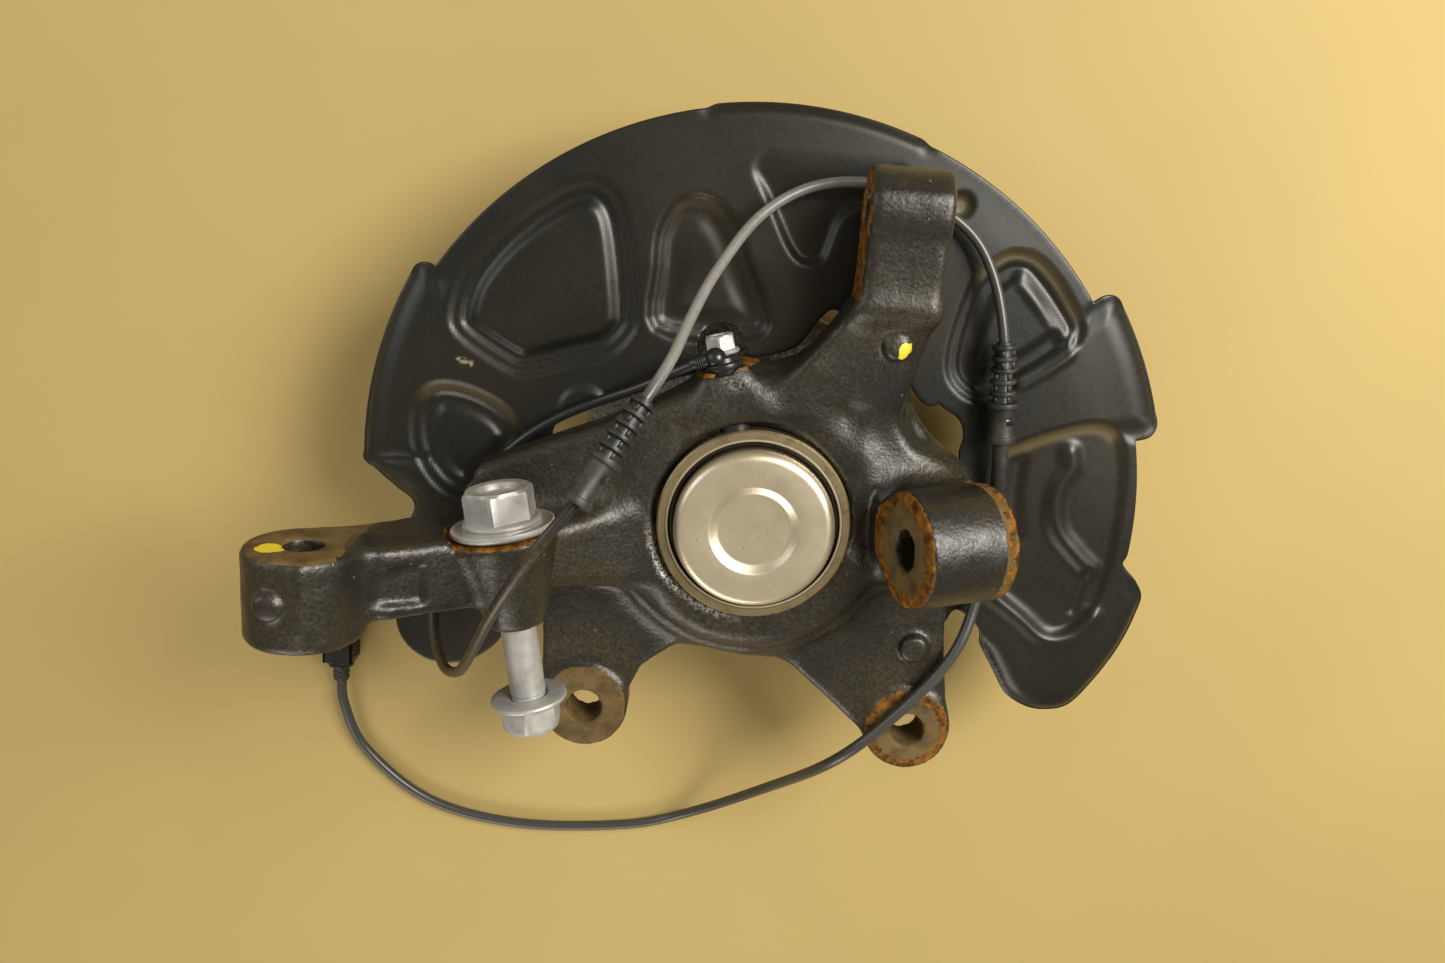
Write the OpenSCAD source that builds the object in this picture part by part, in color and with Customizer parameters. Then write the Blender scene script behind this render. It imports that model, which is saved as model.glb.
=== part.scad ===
// Wheel carrier assembly: cast knuckle, hub and double-row ball bearing,
// brake dust shield, wheel speed sensor with its lead, and a loose link bolt.
// Millimetres. The hub axis is Z and the inboard side is +Z.
// The origin is the centre of the face that the wheel bolts to.

/* [Hub] */
// Radius of the hub flange
flange_r = 70; // [66:0.5:72]
// Thickness of the hub flange
flange_t = 12; // [10:0.5:13]
// Pitch circle diameter of the wheel bolts
wheel_pcd = 112; // [108:1:114]
// Number of wheel bolts
wheel_bolts = 5; // [4:1:6]
// Radius of each tapped wheel bolt hole
wheel_hole_r = 6.3; // [5.5:0.1:7]
// Radius of the spigot that centres the wheel
pilot_r = 33.25; // [31:0.25:35]
// How far the spigot stands out of the wheel face
pilot_h = 8; // [6:0.5:9]

/* [Bearing] */
// Outer radius of the bearing's pressed body
bearing_r = 38; // [37:0.5:39]
// Outer radius of the bearing's inboard nose
nose_r = 34.5; // [34:0.25:35]
// Height of the nose end above the wheel face
nose_z = 80; // [79:0.5:82]
// Number of balls in each row
ball_count = 12; // [8:1:13]
// Ball radius
ball_r = 5; // [4.5:0.1:5]
// Radius of the circle through the ball centres
ball_pitch_r = 27; // [26.8:0.1:27.2]

/* [Knuckle] */
// Radius of the barrel round the bearing
barrel_r = 51; // [50:0.5:52]
// Height of the barrel's inboard face
barrel_z = 76; // [75:0.5:77]
// Radius of each caliper lug
lug_r = 16.5; // [15:0.5:18]
// Radius of each caliper bolt hole
lug_hole_r = 6.6; // [6:0.1:7]
// Radius of the trailing link eye
eye_r = 20.5; // [19:0.5:21]
// Radius of the trailing link bore
eye_bore_r = 7.1; // [6:0.1:8]
// Radius of the upper link bore and of the tie arm bore
arm_bore_r = 6.1; // [5:0.1:6.5]

/* [Link bolt] */
// Radius of the link bolt's shank
link_bolt_r = 6; // [5.5:0.1:6]
// Length of the link bolt's shank under its washer
link_bolt_l = 72; // [70:1:84]
// Distance from the boss to the nut
nut_gap = 26; // [25:0.5:28]

/* [Dust shield] */
// Radius of the dust shield
shield_r = 145; // [143:0.5:147]
// Sheet thickness of the dust shield
sheet_t = 1.5; // [1:0.1:1.5]
// Radius of the opening in the middle of the shield
shield_hole_r = 79; // [77:0.5:80]

/* [Sensor lead] */
// Diameter of the sensor lead
lead_d = 4.3; // [4:0.1:4.3]

/* [Hidden] */
$fn = 64;

iron = [0.13, 0.125, 0.11];
rust = [0.45, 0.25, 0.12];
steel = [0.62, 0.60, 0.56];
zinc = [0.74, 0.73, 0.70];
plastic = [0.07, 0.07, 0.07];
cut = 1;

// Heights of the two ball rows
row_z = [42, 55];
groove_r = ball_r + 0.3;
race_in_r = 23;
race_out_r = 31;
spindle_r = 17;
inner_ring_z = 49.2;
bearing_z = 34;

// Sensor: its own plane is turned about the hub axis
sensor_turn = 15.4;
sensor_z = 71;
sensor_r = 6;
sensor_seat = 56;
sensor_bolt_z = 58;

// Caliper lugs
lug_x = [-58, 67];
lug_y = -82;
lug_bottom = 48;
lug_top = 66;

// Trailing link eye: middle of its bore and the turn of its axis
eye_mid = [66.25, 1.75, 91.5];
eye_turn = [0, 109, 4.5];
eye_l = 33;

// Upper link eye at the end of the gooseneck, bore along X
upper_eye = [41, 112, 80];
upper_eye_r = 14;
upper_eye_l = 27;

// Tie arm eye, bore along Y
tie_eye = [-139, 0, 134];
tie_eye_r = 18;
tie_eye_l = 30;

// Link bolt: its seat and the turn that points it along its bore
seat = [-83, 0, 108];
seat_turn = [90, 0, 10];
boss_l = 32;
washer_t = 3;

// Dust shield
shield_z = 54;
shield_mid = [0, -1.5];
ear_angles = [172, 205, 338];
ear_r = 60;
notch_w = 21.4;
notch_r = 69;

// Lead: route points along its middle line, from the sensor to the plug
lead_route = [
    [-23.5, 55, 71], [-31, 51, 69], [-44, 43.5, 64.5], [-58, 37, 61.5], [-72, 30, 61],
    [-86, 20, 61], [-99, 6, 61], [-108, -12, 61], [-114, -32, 64], [-114, -49, 73],
    [-107, -58, 88], [-98, -53, 104], [-91, -40, 117], [-83, -22, 129.5], [-74, -5, 137.5],
    [-66, 8, 140], [-57, 20, 137], [-48, 35, 130.7], [-38.5, 51, 124],
    [-32, 62, 114], [-27, 74, 100], [-20, 88, 86], [-7, 106, 70], [10, 117, 62],
    [30, 120, 61], [50, 115.5, 61], [67, 106, 61], [77, 91, 62.5], [83, 70, 65],
    [85, 52, 65], [87, 34, 65], [90, 8, 61], [88, -24, 61], [80, -49, 67.5],
    [60, -75, 70], [40, -98, 65], [18, -132, 30], [-14, -165, 0], [-44, -177, -5.5],
    [-93, -180, -5.5], [-134, -171, -5.5], [-163, -147, -5], [-172, -124, -2.5], [-173, -111, -2]
];
lead_sides = 8;
plug_y = -104;
plug_z = -1.5;

// ---- helpers ----

function unit(v) = v / norm(v);

// A smooth curve through four neighbouring points, at t from 0 to 1
function through(a, b, c, d, t) =
    0.5 * (2 * b + (c - a) * t + (2 * a - 5 * b + 4 * c - d) * t * t
        + (3 * b - a - 3 * c + d) * t * t * t);

// The route with one more point in the middle of each of its bends
function smooth_route(p) = [
    for (i = [0 : len(p) - 2])
        for (t = (i % 5 == 4 || i < 2) ? [0] : [0, 0.5])
            through(p[max(i - 1, 0)], p[i], p[i + 1], p[min(i + 2, len(p) - 1)], t),
    p[len(p) - 1]
];

function tangent(p, i) = unit(p[min(i + 1, len(p) - 1)] - p[max(i - 1, 0)]);

// Side vectors carried along the route, so the tube doesn't twist
function carried(p, i, u) = unit(u - (u * tangent(p, i)) * tangent(p, i));

function side_vectors(p, i = 0, u = [0, 0, 1], done = []) =
    i == len(p) ? done
        : side_vectors(p, i + 1, carried(p, i, u), concat(done, [carried(p, i, u)]));

module tube_along(p, r, sides) {
    u = side_vectors(p);
    rings = [
        for (i = [0 : len(p) - 1])
            for (k = [0 : sides - 1])
                p[i] + r * (cos(360 * k / sides) * u[i]
                    + sin(360 * k / sides) * cross(tangent(p, i), u[i]))
    ];
    last = (len(p) - 1) * sides;
    walls = [
        for (i = [0 : len(p) - 2])
            for (k = [0 : sides - 1])
                [i * sides + k, (i + 1) * sides + k,
                    (i + 1) * sides + (k + 1) % sides, i * sides + (k + 1) % sides]
    ];
    polyhedron(rings, concat(walls, [
        [for (k = [0 : sides - 1]) k],
        [for (k = [sides - 1 : -1 : 0]) last + k]
    ]));
}

// Stands a shape at point a with its Z along the line from a to b
module along(a, b) {
    v = b - a;
    translate(a)
        rotate([0, acos(v[2] / norm(v)), atan2(v[1], v[0])])
            children();
}

// The sensor's own plane: +Z runs outwards along its axis, from the hub axis
module on_sensor_axis(z = sensor_z) {
    rotate([0, 0, sensor_turn])
        translate([0, 0, z])
            rotate([-90, 0, 0])
                children();
}

module on_link_axis() {
    translate(seat)
        rotate(seat_turn)
            children();
}

module hexagon(across, h) {
    cylinder(r = across / sqrt(3), h = h, $fn = 6);
}

module pipe(r_out, r_in, h) {
    difference() {
        cylinder(r = r_out, h = h);
        translate([0, 0, -cut])
            cylinder(r = r_in, h = h + 2 * cut);
    }
}

// A wedge of a disc between two angles
module wedge(r, from, to) {
    polygon([[0, 0], for (k = [0 : 8]) 1.1 * r * [cos(from + (to - from) * k / 8),
        sin(from + (to - from) * k / 8)]]);
}

// ---- knuckle ----

module bracket_outline() {
    polygon([
        [-46, 26], [-70, 16], [-74, -30], [-74.5, -82], [-41.5, -82], [-37, -62], [-22, -50],
        [12, -50], [20, -56], [51, -84], [83.5, -82], [76, -28], [76, 16], [50, 48], [0, 52]
    ]);
}

module knuckle_lugs() {
    for (x = lug_x)
        translate([x, lug_y, lug_bottom])
            cylinder(r = lug_r, h = lug_top - lug_bottom);
    translate([65.5, -48, 60])
        cylinder(r = 5.5, h = 8);
}

// Wing that rises from the barrel to the tie arm
module knuckle_wing() {
    hull() {
        translate([-36, -30, 64.5])
            cube([8, 68, 11.5]);
        translate([-98, -24, 67])
            cube([8, 38, 17]);
    }
    hull() {
        translate([-48, -26, 62])
            cube([8, 30, 14]);
        translate([-88, -23, 84])
            cube([8, 19, 26]);
    }
}

module tie_arm() {
    rotate([90, 0, 0])
        linear_extrude(24)
            polygon([
                [-139, 116], [-128, 108], [-115, 96], [-105, 84], [-98, 70], [-84, 70],
                [-78, 84], [-78, 112], [-95, 121], [-114, 134], [-126, 137], [-134, 151]
            ]);
    translate(tie_eye)
        rotate([90, 0, 0])
            cylinder(r = tie_eye_r, h = tie_eye_l);
    on_link_axis()
        cylinder(r1 = 18, r2 = 9.8, h = boss_l);
}

module gooseneck() {
    hull() {
        translate([28, 74, 67])
            cube([26, 8, 22]);
        translate([2, 44, 58])
            cube([46, 6, 17]);
    }
    translate([upper_eye[0] - upper_eye_l / 2, 80, upper_eye[2] - 13])
        cube([upper_eye_l, upper_eye[1] - 80, 26]);
    translate(upper_eye - [upper_eye_l / 2, 0, 0])
        rotate([0, 90, 0])
            cylinder(r = upper_eye_r, h = upper_eye_l);
}

module trailing_eye() {
    translate(eye_mid)
        rotate(eye_turn)
            translate([0, 0, -eye_l / 2])
                cylinder(r = eye_r, h = eye_l);
    hull() {
        translate(eye_mid)
            rotate(eye_turn)
                translate([0, 0, -11])
                    cylinder(r = 15, h = 22, $fn = 32);
        translate([40, -26, 56])
            cube([36, 50, 9]);
    }
}

module knuckle() {
    color(iron)
        difference() {
            union() {
                translate([0, 0, 46])
                    cylinder(r = barrel_r, h = barrel_z - 46);
                translate([0, 0, 32])
                    cylinder(r = 46, h = 16);
                translate([0, 0, 56])
                    linear_extrude(8)
                        bracket_outline();
                knuckle_lugs();
                knuckle_wing();
                tie_arm();
                gooseneck();
                trailing_eye();
                rotate([0, 0, sensor_turn])
                    translate([-10, 40, 50])
                        cube([20, sensor_seat - 40, 29]);
                for (a = ear_angles)
                    rotate([0, 0, a])
                        translate([ear_r, 0, shield_z + sheet_t])
                            cylinder(r = 7, h = 8);
            }
            knuckle_bores();
        }
}

module knuckle_bores() {
    translate([0, 0, 30])
        cylinder(r = bearing_r, h = 40);
    translate([0, 0, 69])
        cylinder(r = nose_r + 0.4, h = 12);
    translate([0, 0, 31.9])
        pipe(bearing_r + 1.5, bearing_r - cut, 2.1);
    for (x = lug_x)
        translate([x, lug_y, lug_bottom - cut])
            cylinder(r = lug_hole_r, h = 30);
    translate(eye_mid)
        rotate(eye_turn)
            translate([0, 0, -30])
                cylinder(r = eye_bore_r, h = 60);
    translate(upper_eye - [30, 0, 0])
        rotate([0, 90, 0])
            cylinder(r = arm_bore_r, h = 60);
    translate(tie_eye + [0, 10, 0])
        rotate([90, 0, 0])
            cylinder(r = arm_bore_r, h = 60);
    on_link_axis()
        translate([0, 0, -50])
            cylinder(r = link_bolt_r + 0.3, h = 100);
    on_link_axis()
        translate([0, 0, -40])
            cylinder(r = 19, h = 40);
    on_sensor_axis()
        translate([0, 0, 30])
            cylinder(r = sensor_r + 0.1, h = 60);
    on_sensor_axis(sensor_bolt_z)
        translate([0, 0, 41])
            cylinder(r = 3, h = 30);
    for (a = ear_angles)
        rotate([0, 0, a])
            translate([ear_r, 0, 50])
                cylinder(r = 2.5, h = 12);
}

// ---- bearing, fixed side ----

module bearing_outer_ring() {
    color(steel)
        difference() {
            rotate_extrude()
                polygon([
                    [race_out_r, bearing_z], [bearing_r, bearing_z], [bearing_r, 69.9],
                    [nose_r, 69.9], [nose_r, nose_z - 0.6], [nose_r - 0.6, nose_z],
                    [31.5, nose_z], [31.5, 77.5], [race_out_r, 77.5]
                ]);
            for (z = row_z)
                translate([0, 0, z])
                    rotate_extrude()
                        translate([ball_pitch_r, 0])
                            circle(r = groove_r);
            on_sensor_axis()
                translate([0, 0, 20])
                    cylinder(r = sensor_r + 0.3, h = 30);
        }
}

module retaining_ring() {
    color(steel)
        difference() {
            translate([0, 0, 32])
                pipe(bearing_r + 1.3, bearing_r - 4, 1.8);
            rotate([0, 0, -90])
                translate([36, 0, 33])
                    cube([12, 9, 6], center = true);
        }
}

module outboard_seal() {
    color(plastic)
        translate([0, 0, bearing_z + 0.3])
            pipe(race_out_r, race_in_r + 0.3, 2.2);
}

module bearing_cap() {
    color([0.66, 0.60, 0.52])
        rotate_extrude()
            polygon([
                [31.5, 77.6], [31.5, nose_z], [30.7, nose_z], [30.7, 78.4], [29, 78.4],
                [28.4, 79], [28.4, 84.5], [27.6, 86.2], [26, 87], [15.5, 87], [12.4, 85.2],
                [0, 85.2], [0, 84.4], [12.8, 84.4], [15.9, 86.2], [25.6, 86.2],
                [27, 85.4], [27.6, 84.2], [27.6, 78.4], [28.4, 77.6]
            ]);
}

// ---- dust shield ----

module right_lobe() {
    polygon([
        [76, -22], [92, -43], [94, -50], [103, -63], [112, -73], [125, -77.5],
        [134, -74], [142, -63], [152, -41], [154, -26], [145, -13], [120, 10]
    ]);
}

module left_lobe() {
    polygon([
        [-142, 2], [-127.5, -10], [-131, -24], [-134, -49], [-113, -54], [-92, -56],
        [-68, -42], [-60, 10]
    ]);
    translate([-113, -53])
        circle(r = 21);
}

module shield_outline() {
    difference() {
        union() {
            difference() {
                translate(shield_mid)
                    circle(r = shield_r);
                polygon([
                    [0, 0], [-142, 2], [-260, -10], [-260, -260], [260, -260], [260, -12], [145, -13]
                ]);
            }
            right_lobe();
            left_lobe();
            intersection() {
                translate(shield_mid)
                    circle(r = shield_r + 4);
                wedge(160, 146, 177);
            }
            intersection() {
                translate(shield_mid)
                    circle(r = shield_r + 10);
                wedge(170, 15.5, 37);
            }
        }
        circle(r = shield_hole_r);
    }
    // Tongue that closes the opening behind the sensor, with a notch round its pad
    difference() {
        polygon([
            [29, 90], [24, 79], [18, 71], [12, 62], [4, 58], [-8, 55], [-25, 51], [-53, 44],
            [-64, 41], [-70, 60], [-30, 95]
        ]);
        rotate([0, 0, sensor_turn])
            translate([-notch_w / 2, 0])
                square([notch_w, notch_r]);
    }
    for (a = ear_angles)
        rotate([0, 0, a])
            difference() {
                union() {
                    translate([ear_r, -9])
                        square([26, 18]);
                    translate([ear_r, 0])
                        circle(r = 9);
                }
                translate([ear_r, 0])
                    circle(r = 2.8);
            }
}

// Turned edge of a shield tab
module shield_lip(r, from, to) {
    translate([0, 0, shield_z - 7])
        linear_extrude(7 + sheet_t)
            intersection() {
                translate(shield_mid)
                    difference() {
                        circle(r = r);
                        circle(r = r - sheet_t);
                    }
                wedge(r, from, to);
            }
}

// Pressed panel that stands out of the sheet's outboard side
module panel(points) {
    translate([0, 0, shield_z - 2])
        linear_extrude(2.1)
            polygon(points);
}

module dust_shield() {
    color(plastic) {
        translate([0, 0, shield_z])
            linear_extrude(sheet_t)
                shield_outline();
        shield_lip(shield_r + 4, 146, 176);
        shield_lip(shield_r + 10, 16, 36.5);
        panel([[-64, 111], [-54, 103], [-50, 66], [-55, 56], [-84, 45], [-111, 60], [-110, 72], [-74, 110]]);
        panel([[-40, 108], [-15, 110], [-11, 82], [-38, 80]]);
        panel([[-6, 128], [26, 131], [24, 100], [-4, 94]]);
        panel([[64, 96], [102, 96], [112, 54], [92, 44]]);
        panel([[92, 38], [124, 40], [136, -44], [112, -46]]);
        panel([[-126, 34], [-94, 36], [-92, -10], [-122, -10]]);
    }
}

module shield_screws() {
    color(zinc)
        for (a = ear_angles)
            rotate([0, 0, a])
                translate([ear_r, 0, 0]) {
                    translate([0, 0, shield_z - 1.2])
                        cylinder(r = 6, h = 1.2);
                    translate([0, 0, shield_z - 5])
                        hexagon(8, 4);
                    translate([0, 0, shield_z - 1])
                        cylinder(r = 2.5, h = 8);
                }
}

// ---- wheel speed sensor ----

module speed_sensor() {
    color(plastic)
        difference() {
            union() {
                on_sensor_axis()
                    translate([0, 0, 28.2])
                        cylinder(r = sensor_r, h = 28);
                on_sensor_axis()
                    translate([0, 0, sensor_seat])
                        cylinder(r = 8.5, h = 3);
                rotate([0, 0, sensor_turn])
                    translate([-6, sensor_seat, sensor_bolt_z])
                        cube([12, 3, sensor_z - sensor_bolt_z]);
                on_sensor_axis(sensor_bolt_z)
                    translate([0, 0, sensor_seat])
                        cylinder(r = 6, h = 3);
                on_sensor_axis()
                    translate([0, 0, sensor_seat + 2])
                        cylinder(r = 6.4, h = 7);
                along([-15, 57.3, 71], lead_route[0])
                    cylinder(r = 3.4, h = norm(lead_route[0] - [-15, 57.3, 71]));
            }
            on_sensor_axis(sensor_bolt_z)
                translate([0, 0, sensor_seat - cut])
                    cylinder(r = 4.2, h = 6);
            on_sensor_axis()
                translate([0, 0, 50])
                    pipe(sensor_r + 1, 4.8, 2);
        }
}

module sensor_bush() {
    color(steel)
        on_sensor_axis(sensor_bolt_z)
            translate([0, 0, sensor_seat])
                pipe(4.2, 3.15, 3);
}

module sensor_oring() {
    color([0.12, 0.12, 0.12])
        on_sensor_axis()
            translate([0, 0, 50.2])
                pipe(sensor_r + 0.1, 4.8, 1.6);
}

module sensor_bolt() {
    color(zinc)
        on_sensor_axis(sensor_bolt_z)
            translate([0, 0, sensor_seat + 3]) {
                cylinder(r = 6.5, h = 1.4);
                translate([0, 0, 1.3])
                    hexagon(10, 5.6);
                translate([0, 0, -17])
                    cylinder(r = 3, h = 17.1);
            }
}

// ---- lead, its grommets and its plug ----

module sensor_lead() {
    color(plastic)
        tube_along(smooth_route(lead_route), lead_d / 2, lead_sides);
}

// Ribbed rubber grommet from a to b, with its plain barrel at the b end
module grommet(a, b) {
    l = norm(b - a);
    color(plastic)
        along(a, b)
            difference() {
                union() {
                    cylinder(r1 = 3.2, r2 = 3.8, h = 22);
                    for (k = [0 : 4])
                        translate([0, 0, 2 + 4 * k])
                            cylinder(r = 4, h = 1.6);
                    translate([0, 0, 21.5])
                        cylinder(r = 5.8, h = 2);
                    translate([0, 0, 23])
                        cylinder(r = 4.5, h = l - 24);
                    translate([0, 0, l - 2.5])
                        cylinder(r = 5.2, h = 2.5);
                }
                translate([0, 0, -cut])
                    cylinder(r = lead_d / 2, h = l + 2 * cut);
            }
}

module grommet_rear() {
    grommet(lead_route[18], lead_route[16]);
}

module grommet_front() {
    grommet(lead_route[28], lead_route[30]);
}

module lead_sleeve() {
    color(plastic)
        along(lead_route[30], lead_route[31])
            pipe(2.9, lead_d / 2, 20);
}

module plug_housing() {
    color(plastic)
        difference() {
            union() {
                translate([-179.5, plug_y + 2, plug_z - 6])
                    cube([13, 32, 12]);
                translate([-181, plug_y + 24, plug_z - 6.5])
                    cube([16, 4, 13]);
                translate([-173, plug_y + 2.5, plug_z])
                    rotate([90, 0, 0])
                        cylinder(r = 5.6, h = 2.5);
                translate([-176, plug_y + 8, plug_z + 5])
                    cube([6, 20, 3]);
            }
            translate([-173, plug_y + 10, plug_z])
                rotate([90, 0, 0])
                    cylinder(r = 4.2, h = 11);
            translate([-177.5, plug_y + 16, plug_z - 4])
                cube([9, 20, 8]);
            for (x = [-2.2, 2.2])
                translate([-173 + x, plug_y + 17, plug_z])
                    rotate([90, 0, 0])
                        cylinder(r = 1.1, h = 10);
        }
}

module plug_seal() {
    color([0.12, 0.12, 0.12])
        translate([-173, plug_y, plug_z])
            rotate([90, 0, 0]) {
                translate([0, 0, -9.9])
                    cylinder(r = 4.2, h = 9.9);
                cylinder(r = 3.6, h = 7);
            }
}

module plug_terminals() {
    color(steel)
        for (x = [-2.2, 2.2])
            translate([-173 + x, plug_y + 26, plug_z])
                rotate([90, 0, 0])
                    cylinder(r = 1.1, h = 15.9);
}

// ---- hub and bearing, turning side ----

module hub_flange() {
    color(steel)
        difference() {
            rotate_extrude()
                polygon([
                    [20, 4], [26, 4], [28, 0], [28, -pilot_h], [pilot_r - 1, -pilot_h],
                    [pilot_r, 1 - pilot_h], [pilot_r, 0], [flange_r, 0], [flange_r, flange_t],
                    [34, flange_t], [30, 16], [30, 30], [race_in_r, 32], [race_in_r, inner_ring_z],
                    [spindle_r, inner_ring_z], [spindle_r, 75], [12, 75], [12, 66], [0, 60], [0, 16],
                    [20, 16]
                ]);
            translate([0, 0, row_z[0]])
                rotate_extrude()
                    translate([ball_pitch_r, 0])
                        circle(r = groove_r);
            for (k = [0 : wheel_bolts - 1])
                rotate([0, 0, 90 + 360 * k / wheel_bolts])
                    translate([wheel_pcd / 2, 0, -cut])
                        cylinder(r = wheel_hole_r, h = flange_t + 2 * cut);
        }
}

module inner_ring() {
    color(steel)
        difference() {
            translate([0, 0, inner_ring_z])
                pipe(race_in_r, spindle_r, 77 - inner_ring_z - 3);
            translate([0, 0, row_z[1]])
                rotate_extrude()
                    translate([ball_pitch_r, 0])
                        circle(r = groove_r);
        }
}

module tone_ring() {
    color([0.2, 0.2, 0.2])
        translate([0, 0, 65])
            pipe(27, race_in_r, 9);
}

module ball_row(z) {
    color(steel)
        for (k = [0 : ball_count - 1])
            rotate([0, 0, 360 * k / ball_count])
                translate([ball_pitch_r, 0, z])
                    sphere(r = ball_r);
}

module balls_outboard() {
    ball_row(row_z[0]);
}

module balls_inboard() {
    ball_row(row_z[1]);
}

// One-piece ball cage: a band with a pocket for each ball
module cage(z) {
    color([0.75, 0.68, 0.5])
        difference() {
            translate([0, 0, z - 5.5])
                pipe(28.6, 25.4, 11);
            for (k = [0 : ball_count - 1])
                rotate([0, 0, 360 * k / ball_count])
                    translate([ball_pitch_r, 0, z])
                        sphere(r = ball_r + 0.1);
        }
}

module cage_outboard() {
    cage(row_z[0]);
}

module cage_inboard() {
    cage(row_z[1]);
}

// ---- link bolt, its washer and its nut ----

module link_washer() {
    color(zinc)
        on_link_axis()
            translate([0, 0, -washer_t - 0.1])
                pipe(17, link_bolt_r + 0.3, washer_t);
}

module link_bolt() {
    color(zinc)
        on_link_axis()
            difference() {
                union() {
                    translate([0, 0, -washer_t - 12.2])
                        hexagon(21, 10.4);
                    translate([0, 0, -washer_t - 2])
                        cylinder(r = 13, h = 1.8);
                    translate([0, 0, -washer_t - 1])
                        cylinder(r = link_bolt_r, h = link_bolt_l + 1);
                }
                translate([0, 0, -washer_t - 13])
                    cylinder(r = 6.5, h = 2.4);
            }
}

module link_nut() {
    color(zinc)
        on_link_axis()
            translate([0, 0, boss_l + nut_gap])
                difference() {
                    union() {
                        cylinder(r = 13, h = 2.5);
                        translate([0, 0, 2.4])
                            hexagon(18, 9.6);
                    }
                    translate([0, 0, -cut])
                        cylinder(r = link_bolt_r + 0.1, h = 20);
                }
}

knuckle();
bearing_outer_ring();
retaining_ring();
outboard_seal();
bearing_cap();
dust_shield();
shield_screws();
speed_sensor();
sensor_bush();
sensor_oring();
sensor_bolt();
sensor_lead();
lead_sleeve();
grommet_rear();
grommet_front();
plug_housing();
plug_seal();
plug_terminals();
hub_flange();
inner_ring();
tone_ring();
balls_outboard();
balls_inboard();
cage_outboard();
cage_inboard();
link_washer();
link_bolt();
link_nut();
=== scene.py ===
import math

import bpy
import numpy as np
from mathutils import Euler, Matrix, Vector, noise


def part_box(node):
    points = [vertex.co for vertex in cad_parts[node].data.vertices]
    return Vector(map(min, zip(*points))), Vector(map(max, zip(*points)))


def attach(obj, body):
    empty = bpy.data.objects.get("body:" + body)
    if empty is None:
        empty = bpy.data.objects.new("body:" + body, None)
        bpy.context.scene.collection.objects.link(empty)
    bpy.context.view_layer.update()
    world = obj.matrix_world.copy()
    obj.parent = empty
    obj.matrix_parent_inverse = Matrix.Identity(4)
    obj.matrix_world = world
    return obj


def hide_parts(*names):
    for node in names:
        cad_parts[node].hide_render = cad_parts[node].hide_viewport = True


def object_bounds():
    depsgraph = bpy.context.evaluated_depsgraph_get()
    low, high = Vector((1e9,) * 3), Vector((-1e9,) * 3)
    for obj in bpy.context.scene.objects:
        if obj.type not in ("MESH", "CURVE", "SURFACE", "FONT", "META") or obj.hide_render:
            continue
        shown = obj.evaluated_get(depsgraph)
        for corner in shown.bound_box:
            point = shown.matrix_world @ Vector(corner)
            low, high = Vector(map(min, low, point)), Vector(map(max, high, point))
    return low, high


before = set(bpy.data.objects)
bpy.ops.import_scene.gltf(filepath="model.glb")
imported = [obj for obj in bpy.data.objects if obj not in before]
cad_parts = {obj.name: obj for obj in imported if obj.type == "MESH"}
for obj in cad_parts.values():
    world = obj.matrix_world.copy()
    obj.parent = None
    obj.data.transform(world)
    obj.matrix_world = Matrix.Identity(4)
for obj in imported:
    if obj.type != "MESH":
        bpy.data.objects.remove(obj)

cad_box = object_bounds()

# Shapes are worked out in millimetres, in the CAD frame, and scaled to metres as they become meshes.
MM = 0.001


# ---------------------------------------------------------------- meshes

def mesh_piece(name, points, faces, material, body="carrier", smooth=True):
    """A mesh object from points in millimetres, riding on a CAD body."""
    mesh = bpy.data.meshes.new(name)
    mesh.from_pydata((np.asarray(points, float) * MM).tolist(), [], [list(map(int, f)) for f in faces])
    mesh.validate()
    mesh.materials.append(material)
    if smooth:
        mesh.polygons.foreach_set("use_smooth", [True] * len(mesh.polygons))
    piece = bpy.data.objects.new(name, mesh)
    bpy.context.scene.collection.objects.link(piece)
    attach(piece, body)
    return piece


def mark(piece, name, values):
    """Stores a number from 0 to 1 at each point of a mesh, for its material to read."""
    layer = piece.data.attributes.new(name, "FLOAT", "POINT")
    layer.data.foreach_set("value", np.asarray(values, np.float32))


def turn_matrix(degrees):
    """Rotation matrix of Euler angles in degrees."""
    return np.array(Euler([math.radians(a) for a in degrees]).to_matrix())


def turned(points, origin=(0, 0, 0), turn=(0, 0, 0)):
    """Points of a shape after it is turned by Euler angles in degrees and moved to origin."""
    return np.asarray(points, float) @ turn_matrix(turn).T + np.array(origin, float)


def pointing(direction):
    """Rotation matrix whose third column is direction."""
    return np.array(Vector(direction).to_track_quat("Z", "Y").to_matrix())


def join(*shapes):
    """Several (points, faces) shapes as one."""
    points, faces, start = [], [], 0
    for p, f in shapes:
        points.append(np.asarray(p, float))
        faces += [[i + start for i in face] for face in f]
        start += len(p)
    return np.concatenate(points), faces


def rings(stack, closed_loop=False, caps=True):
    """Skins a stack of rings, each with the same number of points, into a closed solid."""
    stack = [np.asarray(r, float) for r in stack]
    n, m = len(stack[0]), len(stack)
    faces = []
    for i in range(m if closed_loop else m - 1):
        a, b = i * n, ((i + 1) % m) * n
        faces += [[a + k, a + (k + 1) % n, b + (k + 1) % n, b + k] for k in range(n)]
    if caps and not closed_loop:
        faces.append(list(range(n))[::-1])
        faces.append([(m - 1) * n + k for k in range(n)])
    return np.concatenate(stack), faces


def circle(r, z, steps=96):
    a = np.linspace(0, 2 * math.pi, steps, endpoint=False)
    return np.stack([r * np.cos(a), r * np.sin(a), np.full(steps, z)], 1)


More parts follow.
